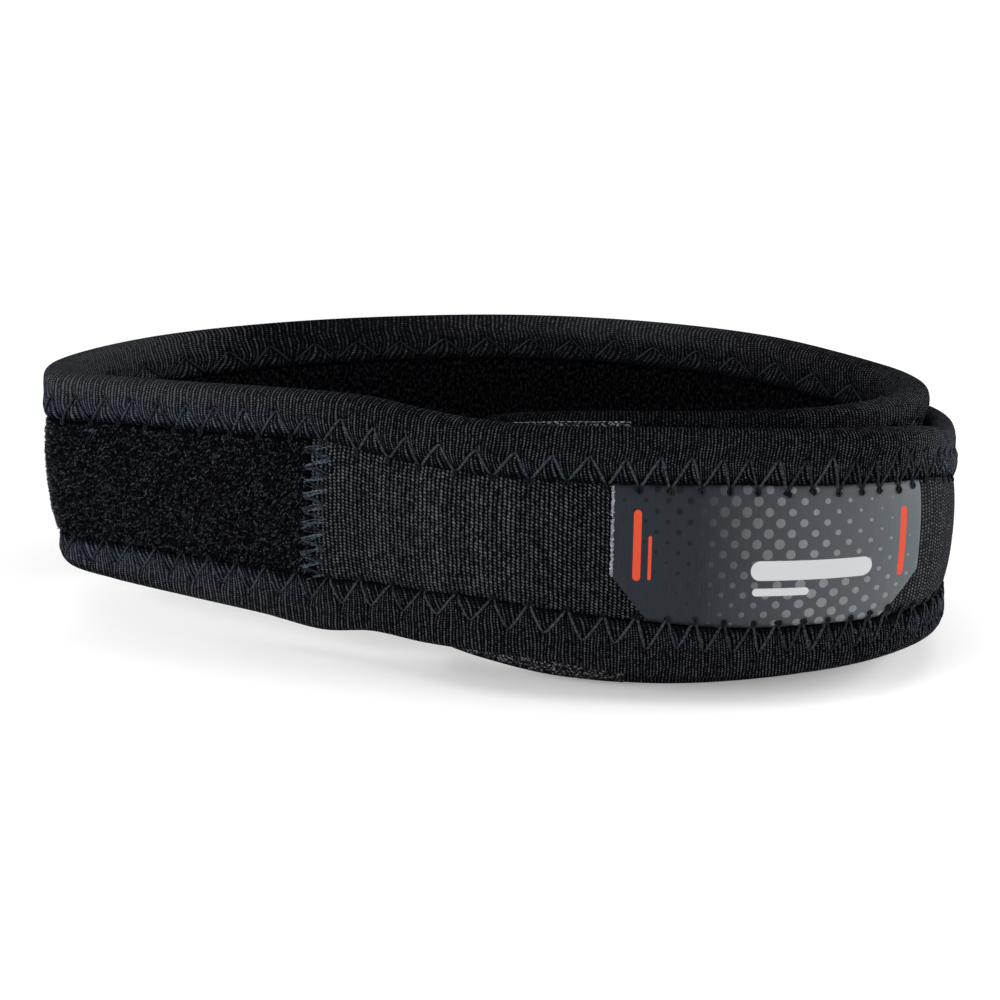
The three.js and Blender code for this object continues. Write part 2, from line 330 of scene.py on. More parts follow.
def carry(name, s, offset, z, material, lean=0.0, grain=None, **looks):
    """A closed skin: a profile carried along the band. Rows follow s, and columns go anticlockwise round
    the profile with the outside on the right. Its map is the distance along the band plus lean and the
    distance round the profile, in millimetres, unless grain gives another. What looks gives for the points,
    such as their painted light and shade, is kept as an attribute of that name."""
    rows, columns = offset.shape
    points = on_band(s[:, None], offset, z).reshape(-1, 3)
    profile = np.stack([offset, z], axis=-1)
    profile = np.concatenate([profile, profile[:, :1]], axis=1)
    lengths = np.linalg.norm(np.diff(profile, axis=1), axis=-1)
    rounds = np.concatenate([np.zeros((rows, 1)), np.cumsum(lengths, axis=1)], axis=1)
    if grain is None:
        grain = np.stack([s[:, None] + lean + 0 * rounds, rounds], axis=-1)
    row, column = np.mgrid[0 : rows - 1, 0:columns]
    here = row * columns + column
    after = row * columns + (column + 1) % columns
    quads = np.stack([here, here + columns, after + columns, after], axis=-1)
    wide = columns + 1
    corner = row * wide + column
    quad_map = np.stack([corner, corner + wide, corner + wide + 1, corner + 1], axis=-1)
    ring = np.arange(columns)
    last = rows - 1
    faces = [quads.reshape(-1, 4), ring[None], (last * columns + ring[::-1])[None]]
    order = np.concatenate([quad_map.ravel(), ring, last * wide + ring[::-1]])
    piece = put_mesh(name, points, faces, grain.reshape(-1, 2)[order], material)
    for label, values in looks.items():
        layer = piece.data.attributes.new(label, "FLOAT", "POINT")
        layer.data.foreach_set("value", np.broadcast_to(values, offset.shape).ravel())
    return piece


def dress(piece, slot, *nodes):
    """Fixes a piece to the strap and lets it stand for these CAD nodes, which it hides; slot is not used."""
    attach(piece, "root")
    if nodes:
        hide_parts(*nodes)


def shader_group(name, takes, gives):
    """An empty node group with these inputs and outputs, and its two end nodes."""
    group = bpy.data.node_groups.new(name, "ShaderNodeTree")
    for label, kind in takes.items():
        group.interface.new_socket(label, in_out="INPUT", socket_type="NodeSocket" + kind)
    for label, kind in gives.items():
        group.interface.new_socket(label, in_out="OUTPUT", socket_type="NodeSocket" + kind)
    return group, group.nodes.new("NodeGroupInput").outputs, group.nodes.new("NodeGroupOutput").inputs


def work(tree, operation, *values):
    """Output socket of a Math node on these values or sockets."""
    return add(tree, "ShaderNodeMath", dict(enumerate(values)), operation=operation).outputs[0]


def grain_of(tree):
    """Socket of the piece's own map along and across its cloth, in millimetres."""
    return add(tree, "ShaderNodeUVMap", uv_map="grain").outputs["UV"]


def parts_of(tree, vector):
    """Sockets X, Y and Z of a vector."""
    return add(tree, "ShaderNodeSeparateXYZ", {0: vector}).outputs


def roughen(shader, height, strength, distance):
    """Gives a shader a bump of this strength and distance (metres) from a height socket."""
    sockets = {"Strength": strength, "Distance": distance, "Height": height}
    feed(shader, "Normal", add(shader.id_data, "ShaderNodeBump", sockets).outputs["Normal"])


def knit_stitch_group():
    """Rows of knitted loops. Wales lie side by side across the grain, wander a little, and are domes. Along
    each one the loops are domes too: Slant draws them out into a V, Twist sets a wale's right half back
    by that share of a loop, and Beads, less where Smoothed, says how deep they part. Shade is the dome to
    the power Steep, times the cube of the loops and uneven tones: of the wale, of every second wale (by
    Paired), of the loop (by Uneven), and in long dashes."""
    sizes = ("Wale", "Course", "Slant", "Twist", "Beads", "Wander", "Steep", "Uneven", "Paired", "Smoothed")
    takes = {"Grain": "Vector", **dict.fromkeys(sizes, "Float")}
    group, given, gives = shader_group("knit_stitch", takes, {"Height": "Float", "Shade": "Float"})
    calc = partial(work, group)
    split = parts_of(group, given["Grain"])
    drift = noise(group, given["Grain"], WANDER_SCALE, 1.0)
    stray = calc("MULTIPLY", calc("SUBTRACT", drift, 0.5), given["Wander"])
    across = calc("DIVIDE", calc("ADD", split["X"], stray), given["Wale"])
    wale = calc("FLOOR", across)
    from_crest = calc("SUBTRACT", calc("FRACT", across), 0.5)
    off_crest = calc("ABSOLUTE", calc("MULTIPLY", from_crest, 2.0))
    dome = calc("SUBTRACT", 1.0, calc("POWER", off_crest, 2.0))
    set_back = calc("MULTIPLY", calc("GREATER_THAN", from_crest, 0.0), given["Twist"])
    own = add(group, "ShaderNodeTexWhiteNoise", {"W": wale}, noise_dimensions="1D").outputs["Value"]
    lag = calc("ADD", calc("MULTIPLY_ADD", off_crest, given["Slant"], own), set_back)
    upward = calc("ADD", calc("DIVIDE", split["Y"], given["Course"]), lag)
    off_loop = calc("MULTIPLY_ADD", calc("PINGPONG", upward, 0.5), -2.0, 1.0)
    deep = calc("MULTIPLY", given["Beads"], calc("SUBTRACT", 1.0, given["Smoothed"]))
    loop = calc("SUBTRACT", 1.0, calc("MULTIPLY", calc("POWER", off_loop, 2.0), deep))
    leg = calc("ADD", wale, set_back)
    cell = add(group, "ShaderNodeCombineXYZ", {"X": leg, "Y": calc("FLOOR", upward)}).outputs[0]
    chance = add(group, "ShaderNodeTexWhiteNoise", {"Vector": cell}, noise_dimensions="2D").outputs["Value"]
    spread = calc("MULTIPLY", given["Uneven"], calc("MULTIPLY_ADD", chance, 2.0, -1.0))
    lane = add(group, "ShaderNodeCombineXYZ", {"X": calc("MULTIPLY", wale, LANE_SHIFT), "Y": split["Y"]})
    dash = noise(group, lane.outputs[0], DASH_SCALE, 1.0)
    dashes = ramp(group, dash, *NOISE_MIDDLE, *DASH_TONES)
    second = calc("MULTIPLY_ADD", calc("FRACT", calc("MULTIPLY", wale, 0.5)), 4.0, -1.0)
    uneven = calc("MULTIPLY", calc("ADD", spread, 1.0), dashes)
    uneven = calc("MULTIPLY", uneven, calc("MULTIPLY_ADD", own, *WALE_TONES))
    uneven = calc("MULTIPLY", uneven, calc("MULTIPLY_ADD", second, given["Paired"], 1.0))
    crest = calc("MULTIPLY", calc("POWER", dome, given["Steep"]), calc("POWER", loop, 3.0))
    group.links.new(calc("MULTIPLY", dome, loop), gives["Height"])
    group.links.new(calc("MULTIPLY", crest, uneven), gives["Shade"])
    return group


knit_stitch = knit_stitch_group()


def knit_finish(name, knit, groove, crest):
    """Matte knitted fabric: loops from the group, dark between them by painted shade, with a soft cloud and
    fine specks over it. Its attributes give its tone with painted light and shade, a painted haze of light
    between the loops, pairing, smoothing, and a painted cool tint of the light."""
    material, tree, shader = finish(name, {"Roughness": 0.9, "Specular IOR Level": 0.0})
    grain = grain_of(tree)
    labels = ("tone_and_painted_light", "painted_light_haze", "paired", "smoothed", "painted_cool_light")
    marks = {label: add(tree, "ShaderNodeAttribute", attribute_name=label) for label in labels}
    looks = {label: mark.outputs["Fac"] for label, mark in marks.items()}
    takes = {"Grain": grain, "Paired": looks["paired"], "Smoothed": looks["smoothed"], **knit}
    loops = add(tree, "ShaderNodeGroup", takes, node_tree=knit_stitch).outputs
    cloud = work(tree, "MULTIPLY_ADD", noise(tree, grain, CLOUD_SCALE, 3.0), *CLOUD_TONES)
    specks = ramp(tree, noise(tree, grain, SPECK_SCALE), *NOISE_MIDDLE, *SPECK_TONES)
    shade = work(tree, "MULTIPLY", work(tree, "MULTIPLY", loops["Shade"], cloud), specks)
    # Painted light and shade: the loops' shade is scaled by the painted tone and lifted by the painted haze
    # of light
    shade = work(tree, "MULTIPLY_ADD", shade, looks["tone_and_painted_light"], looks["painted_light_haze"])
    colour = blend(tree, shade, groove, crest)
    # Painted cool light: the colour is multiplied by the cool tint where the light would tint it
    feed(shader, "Base Color", blend(tree, looks["painted_cool_light"], colour, COOL_LIGHT_TINT, blend_type="MULTIPLY"))
    roughen(shader, loops["Height"], 0.8, 0.0002)
    return material


def band_profile(s):
    """Offsets and heights round the foam: up the padded face, over the top, down the back, and under."""
    low = along("low", s)[:, None] + FOAM_INSET
    high = along("high", s)[:, None] - FOAM_INSET
    face = np.linspace(0, 1, FACE_POINTS)
    face_z = low + (high - low) * face
    back_z = low + (high - low) * np.linspace(1, 0, BACK_POINTS)
    crown = np.clip((high - low) * np.minimum(face, 1 - face) / FOAM_SHOULDER, 0, 1)
    shoulder = SHOULDER_LEAST + (1 - SHOULDER_LEAST) * np.sqrt(crown)
    face_out = face_offset(s[:, None], face_z) * shoulder
    offset = np.hstack([face_out, BACK_OF_FOAM + 0 * back_z]) * end_share(s)[:, None]
    return offset, np.hstack([face_z, back_z])


face_knit = knit_finish("face_knit", FACE_KNIT, FACE_GROOVE, FACE_CREST)
band_s = np.linspace(0, BAND_LENGTH, BAND_ROWS)
band_lean = (grain_along(band_s, FACE_STRETCH) - band_s)[:, None]
band_offset, band_z = band_profile(band_s)
band_looks = {label: marked(marks, band_s)[:, None] for label, marks in FACE_LOOKS.items()}
band_looks["tone_and_painted_light"] = np.where(band_offset > 0, band_looks["tone_and_painted_light"], FOAM_BARE)
band = carry("padded_band", band_s, band_offset, band_z, face_knit, lean=band_lean, **band_looks)
dress(band, "knit_face", "band")

# Lining: a strip of dark brushed fabric glued to the foam's inside, between the inside hems of the tapes.
# Its nap hides the knit that carries it, so it drinks nearly all light.
HEM_INSIDE = 8.5
LINING_MARGIN = 0.3
LINING_ROWS = 300
LINING_UP = 5
LINING_DOWN = 16
LINING_AT_HEM = -1.75
LINING_WALL = 0.1
LINING_CROWN = -0.7
LINING_SCALES = (2.0, 1.1)
LINING_DARK = (0.0003, 0.0003, 0.0005, 1)
LINING_NAP = (0.016, 0.0165, 0.02, 1)
NAP_ENDS = (0.48, 0.75)


def nap_finish(name, scales, dark, light):
    """Napped cloth: fine noise on the grain, with a scale along and across it, picks out stray fibre ends
    against the dark ground."""
    material, tree, shader = finish(name, {"Roughness": 0.95, "Specular IOR Level": 0.0})
    scaled = add(tree, "ShaderNodeMapping", {"Vector": grain_of(tree), "Scale": (*scales, 1.0)}).outputs[0]
    fibre = noise(tree, scaled, 1.0, 4.0, 0.7)
    feed(shader, "Base Color", blend(tree, ramp(tree, fibre, *NAP_ENDS), dark, light))
    roughen(shader, fibre, 1.0, 0.0004)
    return material


lining_s = np.linspace(END_ROUND, BAND_LENGTH - END_ROUND, LINING_ROWS)
lining_low = along("low", lining_s)[:, None] + HEM_INSIDE + LINING_MARGIN
lining_high = along("high", lining_s)[:, None] - HEM_INSIDE - LINING_MARGIN
lining_share = np.hstack([np.linspace(0, 1, LINING_UP), np.linspace(1, 0, LINING_DOWN)])
lining_z = lining_low + (lining_high - lining_low) * lining_share
lining_bow = LINING_CROWN * half_ellipse(lining_share)
lining_bow[:LINING_UP] = LINING_WALL
lining_offset = LINING_AT_HEM + lining_bow + 0 * lining_z
lining_cloth = nap_finish("brushed_lining", LINING_SCALES, LINING_DARK, LINING_NAP)
lining = carry("lining_cloth", lining_s, lining_offset, lining_z, lining_cloth)
dress(lining, "brushed_lining", "lining")

# Pile panel: a strip of unbroken loop cloth on the outside, from the back round the left to the front.
# Thousands of fine fibre loops stand out of its ground, and the hook tape grips them.
PILE_START = 110.0
PILE_FRONT = 262.0
PILE_END = 335.5
PILE_MARGIN = 0.25
PILE_GROUND = 0.4
PILE_UNDER = -0.1
PILE_ROWS = 220
PILE_POINTS = (20, 5)
PILE_SCALES = (3.0, 3.0)
PILE_DARK = (0.001, 0.0011, 0.0014, 1)
PILE_LIGHT = (0.009, 0.0094, 0.0113, 1)
LOOP_COUNT = 14000
LOOP_STEPS = 3
LOOP_SIDES = 3
LOOP_RADIUS = 0.065
LOOP_SPAN = (0.3, 0.65)
LOOP_HEIGHT = (0.35, 0.7)
LOOP_UPWARD = (0.02, 0.98)
LOOP_FROM_END = 0.3
LOOP_LEAN = 0.35
LOOP_FEW_LIGHT = 4
LOOP_SINK = 0.2
LOOP_DARK = (0.0024, 0.0027, 0.0042, 1)
LOOP_LIGHT = (0.095, 0.103, 0.135, 1)


def run_along(points):
    """Distance in millimetres along each strand of points (strands, steps, 3) from its first step."""
    lengths = np.linalg.norm(np.diff(points, axis=1), axis=-1) / MM
    return np.concatenate([np.zeros((len(points), 1)), np.cumsum(lengths, axis=1)], axis=1)


def strands(name, points, side, radius, sides, tone, material):
    """Many closed tubes. points (strands, steps, 3) are their centre lines in metres, side a direction off
    each line, and radius spreads over (strands, steps, sides). The map holds the tone, one for each strand
    or for each step of it, and the distance along the strand in millimetres."""
    count, steps = points.shape[:2]
    ahead = np.gradient(points, axis=1)
    ahead /= np.linalg.norm(ahead, axis=-1, keepdims=True)
    across = side - (side * ahead).sum(-1, keepdims=True) * ahead
    across /= np.linalg.norm(across, axis=-1, keepdims=True)
    over = np.cross(ahead, across)
    turn = 2 * np.pi * np.arange(sides) / sides
    ring = across[:, :, None] * np.cos(turn)[:, None] + over[:, :, None] * np.sin(turn)[:, None]
    skin = points[:, :, None] + np.broadcast_to(radius, (count, steps, sides))[..., None] * ring
    strand, step, around = np.mgrid[0:count, 0 : steps - 1, 0:sides]
    base = (strand * steps + step) * sides
    here = base + around
    after = base + (around + 1) % sides
    quads = np.stack([here, after, after + sides, here + sides], axis=-1)
    first = np.arange(count)[:, None] * steps * sides
    cap = np.arange(sides)
    faces = [quads.reshape(-1, 4), first + cap[::-1], first + (steps - 1) * sides + cap]
    run = run_along(points)
    tones = np.broadcast_to(tone.reshape(count, -1), run.shape)
    pairs = np.repeat(np.stack([tones, run], axis=-1)[:, :, None], sides, axis=2).reshape(-1, 2)
    order = np.concatenate([group.ravel() for group in faces])
    return put_mesh(name, skin.reshape(-1, 3), faces, pairs[order], material)


def fibre_finish(name, dark, light):
    """Matte fibre whose tone runs from dark to light by the strand's own value in the map."""
    material, tree, shader = finish(name, {"Roughness": 0.7, "Specular IOR Level": 0.08})
    feed(shader, "Base Color", blend(tree, parts_of(tree, grain_of(tree))["X"], dark, light))
    return material


def laid_strip(s, low, high, points, lifts):
    """Offsets and heights of a strip on the padded face: up its outside and down its underside, with a
    number of points and a lift off the face for each."""
    share = np.hstack([np.linspace(0, 1, points[0]), np.linspace(1, 0, points[1])])
    z = low + (high - low) * share
    return face_offset(s[:, None], z) + np.repeat(lifts, points), z


def between_hems(s, margin):
    """Heights of a strip's two edges at distances s: the hems, each less a margin."""
    return along("low_hem", s) + margin, along("high_hem", s) - margin


def pile_loops(name, start, end, seed, material):
    """Fibre arches on the pile's ground: each rises as half a sine between two feet, set at a random angle,
    and leans over to one side by part of its height."""
    rng = np.random.default_rng(seed)
    each = (LOOP_COUNT, 1)
    s = rng.uniform(start + LOOP_FROM_END, end - LOOP_FROM_END, each)
    low, high = between_hems(s, PILE_MARGIN)
    z = low + (high - low) * rng.uniform(*LOOP_UPWARD, each)
    angle = rng.uniform(0, np.pi, each)
    span = rng.uniform(*LOOP_SPAN, each)
    height = rng.uniform(*LOOP_HEIGHT, each)
    lean = rng.normal(0, LOOP_LEAN, each)
    arch = np.linspace(0, 1, LOOP_STEPS)
    rise = np.sin(np.pi * arch)
    away = span * (arch - 0.5)
    loop_s = s + away * np.cos(angle) - lean * rise * np.sin(angle)
    loop_z = np.clip(z + away * np.sin(angle) + lean * rise * np.cos(angle), low, high)
    loop_out = face_offset(s, z) + PILE_GROUND + height * rise - LOOP_SINK
    points = on_band(loop_s, loop_out, loop_z)
    side = on_band(loop_s[:, :1] - np.sin(angle), loop_out[:, :1], loop_z[:, :1] + np.cos(angle))
    tone = rng.uniform(0, 1, LOOP_COUNT) ** LOOP_FEW_LIGHT
    return strands(name, points, side - points[:, :1], LOOP_RADIUS * MM, LOOP_SIDES, tone, material)


pile_ground = nap_finish("pile_ground", PILE_SCALES, PILE_DARK, PILE_LIGHT)
pile_fibre = fibre_finish("pile_fibre", LOOP_DARK, LOOP_LIGHT)
pile_s = np.linspace(PILE_START, PILE_END, PILE_ROWS)
pile_edges = between_hems(pile_s[:, None], PILE_MARGIN)
pile_skin = laid_strip(pile_s, *pile_edges, PILE_POINTS, (PILE_GROUND, PILE_UNDER))
pile = carry("pile_ground_cloth", pile_s, *pile_skin, pile_ground)
front_loops = pile_loops("pile_loops_front", PILE_FRONT, PILE_END, 11, pile_fibre)
back_loops = pile_loops("pile_loops_back", PILE_START, PILE_FRONT, 12, pile_fibre)
dress(pile, "loop_pile", "pile_panel")
dress(front_loops, "loop_pile")
dress(back_loops, "loop_pile")

# Patch: a satin tape panel, printed and cut with its lower corners off, sewn on under the tapes' hems.
# Its left edge is a raw cut, from which pale yarn ends stand out.
PATCH_START = 387.0
PATCH_LENGTH = 48.0
PATCH_HEIGHT = 21.6
PATCH_CUT_ALONG = 6.0
PATCH_CUT_UP = 7.5
PATCH_MARGIN = 0.1
PATCH_LIFT = 0.3
PATCH_UNDER = 0.02
PATCH_ROWS = 140
PATCH_POINTS = (26, 4)
# Painted sheen: the satin ground runs from dark at the left to pale at the right, where the light on the
# right reflects
SATIN_LEFT = (0.014, 0.0175, 0.023, 1)
SATIN_RIGHT = (0.086, 0.096, 0.106, 1)
SATIN_PAINTED_SHEEN = (13.0, 46.0)
LINE_SCALES = (6.0, 0.25, 1.0)
LINE_DEPTH = 0.3
# Dots of the print: steps along and up, biggest radius, soft edge, and how they shrink to the sides
DOT_PITCH = 3.4
DOT_RISE = 1.55
DOT_BIGGEST = 0.78
DOT_EDGE = 0.05
DOT_MIDDLE = 33.0
DOT_SLANT = 0.8
DOT_SPREAD = 26.0
DOT_LEFT = (0.006, 0.0045, 0.0045, 1)
DOT_RIGHT = (0.2, 0.21, 0.22, 1)
DOT_PALING = (12.0, 30.0)
DOT_INK = (0.8, 0.3)
# Bars of the print: middle, half length and half height before rounding, round, in millimetres
BAR_EDGE = 0.04
SILVER = (0.46, 0.475, 0.48, 1)
SILVER_BARS = (
    ((30.5, 9.2), (7.6, 0.0), 1.5),
    ((26.0, 5.9), (3.6, 0.0), 0.6),
)
ORANGE = (0.52, 0.058, 0.024, 1)
ORANGE_BARS = (
    ((3.9, 12.4), (0.0, 4.9), 0.62),
    ((5.9, 10.6), (0.0, 3.2), 0.26),
    ((44.6, 12.4), (0.0, 4.9), 0.55),
)
# Yarn ends: radius and its spread, how far each bows out, points on each
YARN_RADIUS = 0.09
YARN_SPREAD = (0.6, 1.2)
YARN_BOW = 0.12
YARN_STEPS = 4
YARN_SIDES = 4
YARN_DARK = (0.1, 0.105, 0.112, 1)
YARN_PALE = (0.42, 0.44, 0.47, 1)
FRAY_COUNT = 280
FRAY_BELOW_HEM = 0.4
FRAY_STRAY = 0.06
FRAY_LENGTH = (0.15, 0.45)
FRAY_DROP = 0.25


def rounded_bar_group():
    """Mask of a bar with rounded ends: inside where the way from Grain to the bar's core is under Round."""
    takes = {"Grain": "Vector", "Middle": "Vector", "Half": "Vector", "Round": "Float"}
    group, given, gives = shader_group("rounded_bar", takes, {"Mask": "Float"})
    vector = partial(vector_work, group)
    off = vector("ABSOLUTE", vector("SUBTRACT", given["Grain"], given["Middle"]))
    past = vector("MAXIMUM", vector("SUBTRACT", off, given["Half"]), (0, 0, 0))
    gap = work(group, "SUBTRACT", vector("LENGTH", past), given["Round"])
    group.links.new(ramp(group, gap, BAR_EDGE, -BAR_EDGE), gives["Mask"])
    return group


rounded_bar = rounded_bar_group()


def halftone(tree, grain):
    """Mask of round dots in staggered rows. A dot's radius is greatest on a slanted line across the patch
    and falls off evenly to both sides."""
    calc = partial(work, tree)
    split = parts_of(tree, grain)
    upward = calc("DIVIDE", split["Y"], DOT_RISE)
    row = calc("FLOOR", upward)
    stagger = calc("MULTIPLY", calc("MODULO", row, 2.0), 0.5)
    along_row = calc("ADD", calc("DIVIDE", split["X"], DOT_PITCH), stagger)
    off_x = calc("MULTIPLY", calc("SUBTRACT", calc("FRACT", along_row), 0.5), DOT_PITCH)
    off_y = calc("MULTIPLY", calc("SUBTRACT", calc("FRACT", upward), 0.5), DOT_RISE)
    away = calc("SQRT", calc("ADD", calc("POWER", off_x, 2.0), calc("POWER", off_y, 2.0)))
    dot_x = calc("MULTIPLY", calc("FLOOR", along_row), DOT_PITCH)
    slanted = calc("MULTIPLY_ADD", row, DOT_SLANT * DOT_RISE, dot_x)
    fall = calc("DIVIDE", calc("ABSOLUTE", calc("SUBTRACT", slanted, DOT_MIDDLE)), DOT_SPREAD)
    radius = calc("MULTIPLY", calc("SUBTRACT", 1.0, fall), DOT_BIGGEST)
    return ramp(tree, calc("SUBTRACT", radius, away), -DOT_EDGE, DOT_EDGE)


def satin_print():
    """Satin with fine upright lines and painted sheen that makes its ground paler to the right, over which
    come the dots, dark at the left and pale at the right, and the plain silver and orange bars."""
    material, tree, shader = finish("satin_print", {"Roughness": 0.45, "Specular IOR Level": 0.08})
    grain = grain_of(tree)
    rightward = parts_of(tree, grain)["X"]
    stretched = add(tree, "ShaderNodeMapping", {"Vector": grain, "Scale": LINE_SCALES}).outputs[0]
    lines = noise(tree, stretched, 1.0)
    # Painted sheen: the ground grows paler to the right
    painted_sheen = ramp(tree, rightward, *SATIN_PAINTED_SHEEN)
    lined = work(tree, "MULTIPLY_ADD", work(tree, "SUBTRACT", lines, 0.5), LINE_DEPTH, painted_sheen)
    dot = blend(tree, ramp(tree, rightward, *DOT_PALING), DOT_LEFT, DOT_RIGHT)
    ink = work(tree, "MULTIPLY", halftone(tree, grain), work(tree, "MULTIPLY_ADD", lines, *DOT_INK))
    colour = blend(tree, ink, blend(tree, lined, SATIN_LEFT, SATIN_RIGHT), dot)
    for bars, paint in ((SILVER_BARS, SILVER), (ORANGE_BARS, ORANGE)):
        for middle, half, rounding in bars:
            takes = {"Grain": grain, "Middle": (*middle, 0), "Half": (*half, 0), "Round": rounding}
            bar = add(tree, "ShaderNodeGroup", takes, node_tree=rounded_bar)
            colour = blend(tree, bar.outputs["Mask"], colour, paint)
    feed(shader, "Base Color", colour)
    roughen(shader, lines, 0.35, 0.0001)
    return material


patch_s = np.linspace(PATCH_START, PATCH_START + PATCH_LENGTH, PATCH_ROWS)
patch_in = np.minimum(patch_s - PATCH_START, PATCH_START + PATCH_LENGTH - patch_s)
patch_cut = PATCH_CUT_UP * np.clip(1 - patch_in / PATCH_CUT_ALONG, 0, 1)
patch_hem_low, patch_hem_high = between_hems(patch_s[:, None], 0.0)
patch_low = patch_hem_low + PATCH_MARGIN + patch_cut[:, None]
patch_high = patch_hem_high - PATCH_MARGIN
patch_offset, patch_z = laid_strip(patch_s, patch_low, patch_high, PATCH_POINTS, (PATCH_LIFT, PATCH_UNDER))
patch_v = PATCH_HEIGHT * (patch_z - patch_hem_low) / (patch_hem_high - patch_hem_low)
patch_v = np.hstack([patch_v, patch_v[:, :1]])
patch_grain = np.stack([(patch_s - PATCH_START)[:, None] + 0 * patch_v, patch_v], axis=-1)
patch = carry("printed_patch", patch_s, patch_offset, patch_z, satin_print(), grain=patch_grain)
dress(patch, "satin_patch", "label_patch")


def outward(s, offset, z):
    """Points on the band, and the way outwards at each of them."""
    points = on_band(s, offset, z)
    return points, on_band(s, offset + 1.0, z) - points


def yarn_ends(name, s, offset, z, way_s, way_z, material, seed):
    """Short yarn ends on a cut edge: each runs a little way along the edge or across it, and bows out."""
    rng = np.random.default_rng(seed)
    part = np.linspace(-0.5, 0.5, YARN_STEPS)
    bow = YARN_BOW * np.cos(np.pi * part)
    end_s = s[:, None] + way_s[:, None] * part
    end_z = z[:, None] + way_z[:, None] * part
    points, side = outward(end_s, offset[:, None] + bow, end_z)
    radius = YARN_RADIUS * MM * rng.uniform(*YARN_SPREAD, (len(s), 1, 1))
    return strands(name, points, side, radius, YARN_SIDES, rng.uniform(0, 1, len(s)) ** 2, material)


pale_yarn = fibre_finish("pale_yarn", YARN_DARK, YARN_PALE)
fray_rng = np.random.default_rng(51)
fray_up = fray_rng.uniform(0, 1, FRAY_COUNT)
fray_low = along("low_hem", PATCH_START) + PATCH_CUT_UP
fray_z = fray_low + (along("high_hem", PATCH_START) - FRAY_BELOW_HEM - fray_low) * fray_up
fray_s = PATCH_START + fray_rng.normal(0, FRAY_STRAY, FRAY_COUNT)
fray_offset = face_offset(fray_s, fray_z) + PATCH_LIFT
fray_way = fray_rng.uniform(*FRAY_LENGTH, FRAY_COUNT)
fray_drop = fray_rng.normal(0, FRAY_DROP, FRAY_COUNT)
patch_fray = yarn_ends("patch_fray", fray_s, fray_offset, fray_z, fray_way, fray_drop, pale_yarn, 52)
dress(patch_fray, "satin_patch")

# Hook tape: a short woven tape with stiff hooks, sewn flat on the outside of the inner end, where the
# outer end presses its own lining on it. Pale yarn ends show along its upper edge.
HOOK_START = 1.2
HOOK_END = 31.5
HOOK_OFFSET = 2.75
HOOK_WALL = 0.5
HOOK_BELOW = 1.0
HOOK_TURN = np.radians(32)
HOOK_ROWS = 60
HOOK_UP = 22
HOOK_OVER = 8
FOLD_HEIGHT = 2.2
FOLD_FULL = 2.5
HOOK_CELL = (0.25, 0.2, 1.0)
HOOK_WARP = (0.3, 0.3, 0.0)
HOOK_WARP_SCALE = 1.4
HOOK_FEW_PALE = 6.0
HOOK_DARK = (0.002, 0.0021, 0.0025, 1)
HOOK_PALE = (0.2, 0.2, 0.225, 1)
EDGE_YARN_FROM = 11
EDGE_YARN_PITCH = 0.9
EDGE_YARN_STRAY = 0.1
EDGE_YARN_LENGTH = (0.25, 0.6)


def flecked_finish():
    """Woven tape: small cells of yarn, pulled a little out of true, most of them dark and some pale."""
    material, tree, shader = finish("flecked_weave", {"Roughness": 0.8, "Specular IOR Level": 0.05})
    grain = grain_of(tree)
    pull = add(tree, "ShaderNodeTexNoise", {"Vector": grain, "Scale": HOOK_WARP_SCALE}).outputs["Color"]
    bent = vector_work(tree, "MULTIPLY_ADD", pull, HOOK_WARP, grain)
    cell = vector_work(tree, "FLOOR", vector_work(tree, "DIVIDE", bent, HOOK_CELL))
    tone = add(tree, "ShaderNodeTexWhiteNoise", {"Vector": cell}, noise_dimensions="2D").outputs["Value"]
    feed(shader, "Base Color", blend(tree, work(tree, "POWER", tone, HOOK_FEW_PALE), HOOK_DARK, HOOK_PALE))
    roughen(shader, tone, 1.0, 0.0002)
    return material


def over_fold(s, turn, outer):
    """Offset and height on the outside of the upper fold: a quarter of a superellipse of half width outer,
    met at the angle turn, 0 at the shoulder and a right angle on the ridge."""
    swell = 2 / FOLD_FULL
    z = along("high", s) - FOLD_HEIGHT * (1 - np.sin(turn) ** swell)
    return outer * np.cos(turn) ** swell + 0 * z, z


def hook_profile(s):
    """Up the outside of the hook tape and a little over the fold, then back down its underside, where every
    fourth point is enough."""
    low = along("low", s)[:, None] + HOOK_BELOW
    shoulder = along("high", s)[:, None] - FOLD_HEIGHT
    turn = np.linspace(0, HOOK_TURN, HOOK_OVER)[1:]
    face_z = low + (shoulder - low) * np.linspace(0, 1, HOOK_UP)
    back_z = face_z[:, ::-4]
    outer, over_z = over_fold(s[:, None], turn, HOOK_OFFSET + HOOK_WALL)
    inner, under_z = over_fold(s[:, None], turn[::-1], HOOK_OFFSET)
    offset = np.hstack([HOOK_OFFSET + HOOK_WALL + 0 * face_z, outer, inner, HOOK_OFFSET + 0 * back_z])
    return offset, np.hstack([face_z, over_z, under_z, back_z])


hook_s = np.linspace(HOOK_START, HOOK_END, HOOK_ROWS)
hook = carry("hook_tape", hook_s, *hook_profile(hook_s), flecked_finish())
edge_rng = np.random.default_rng(41)
edge_s = np.arange(HOOK_START + EDGE_YARN_FROM, HOOK_END, EDGE_YARN_PITCH)
edge_s = edge_s + edge_rng.normal(0, EDGE_YARN_STRAY, len(edge_s))
edge_out, edge_z = over_fold(edge_s, HOOK_TURN, HOOK_OFFSET + HOOK_WALL)
edge_way = edge_rng.uniform(*EDGE_YARN_LENGTH, len(edge_s))
hook_yarn = yarn_ends("hook_tape_yarn", edge_s, edge_out, edge_z, edge_way, 0 * edge_way, pale_yarn, 42)
dress(hook, "hook_tape", "hook_tab")
dress(hook_yarn, "hook_tape")

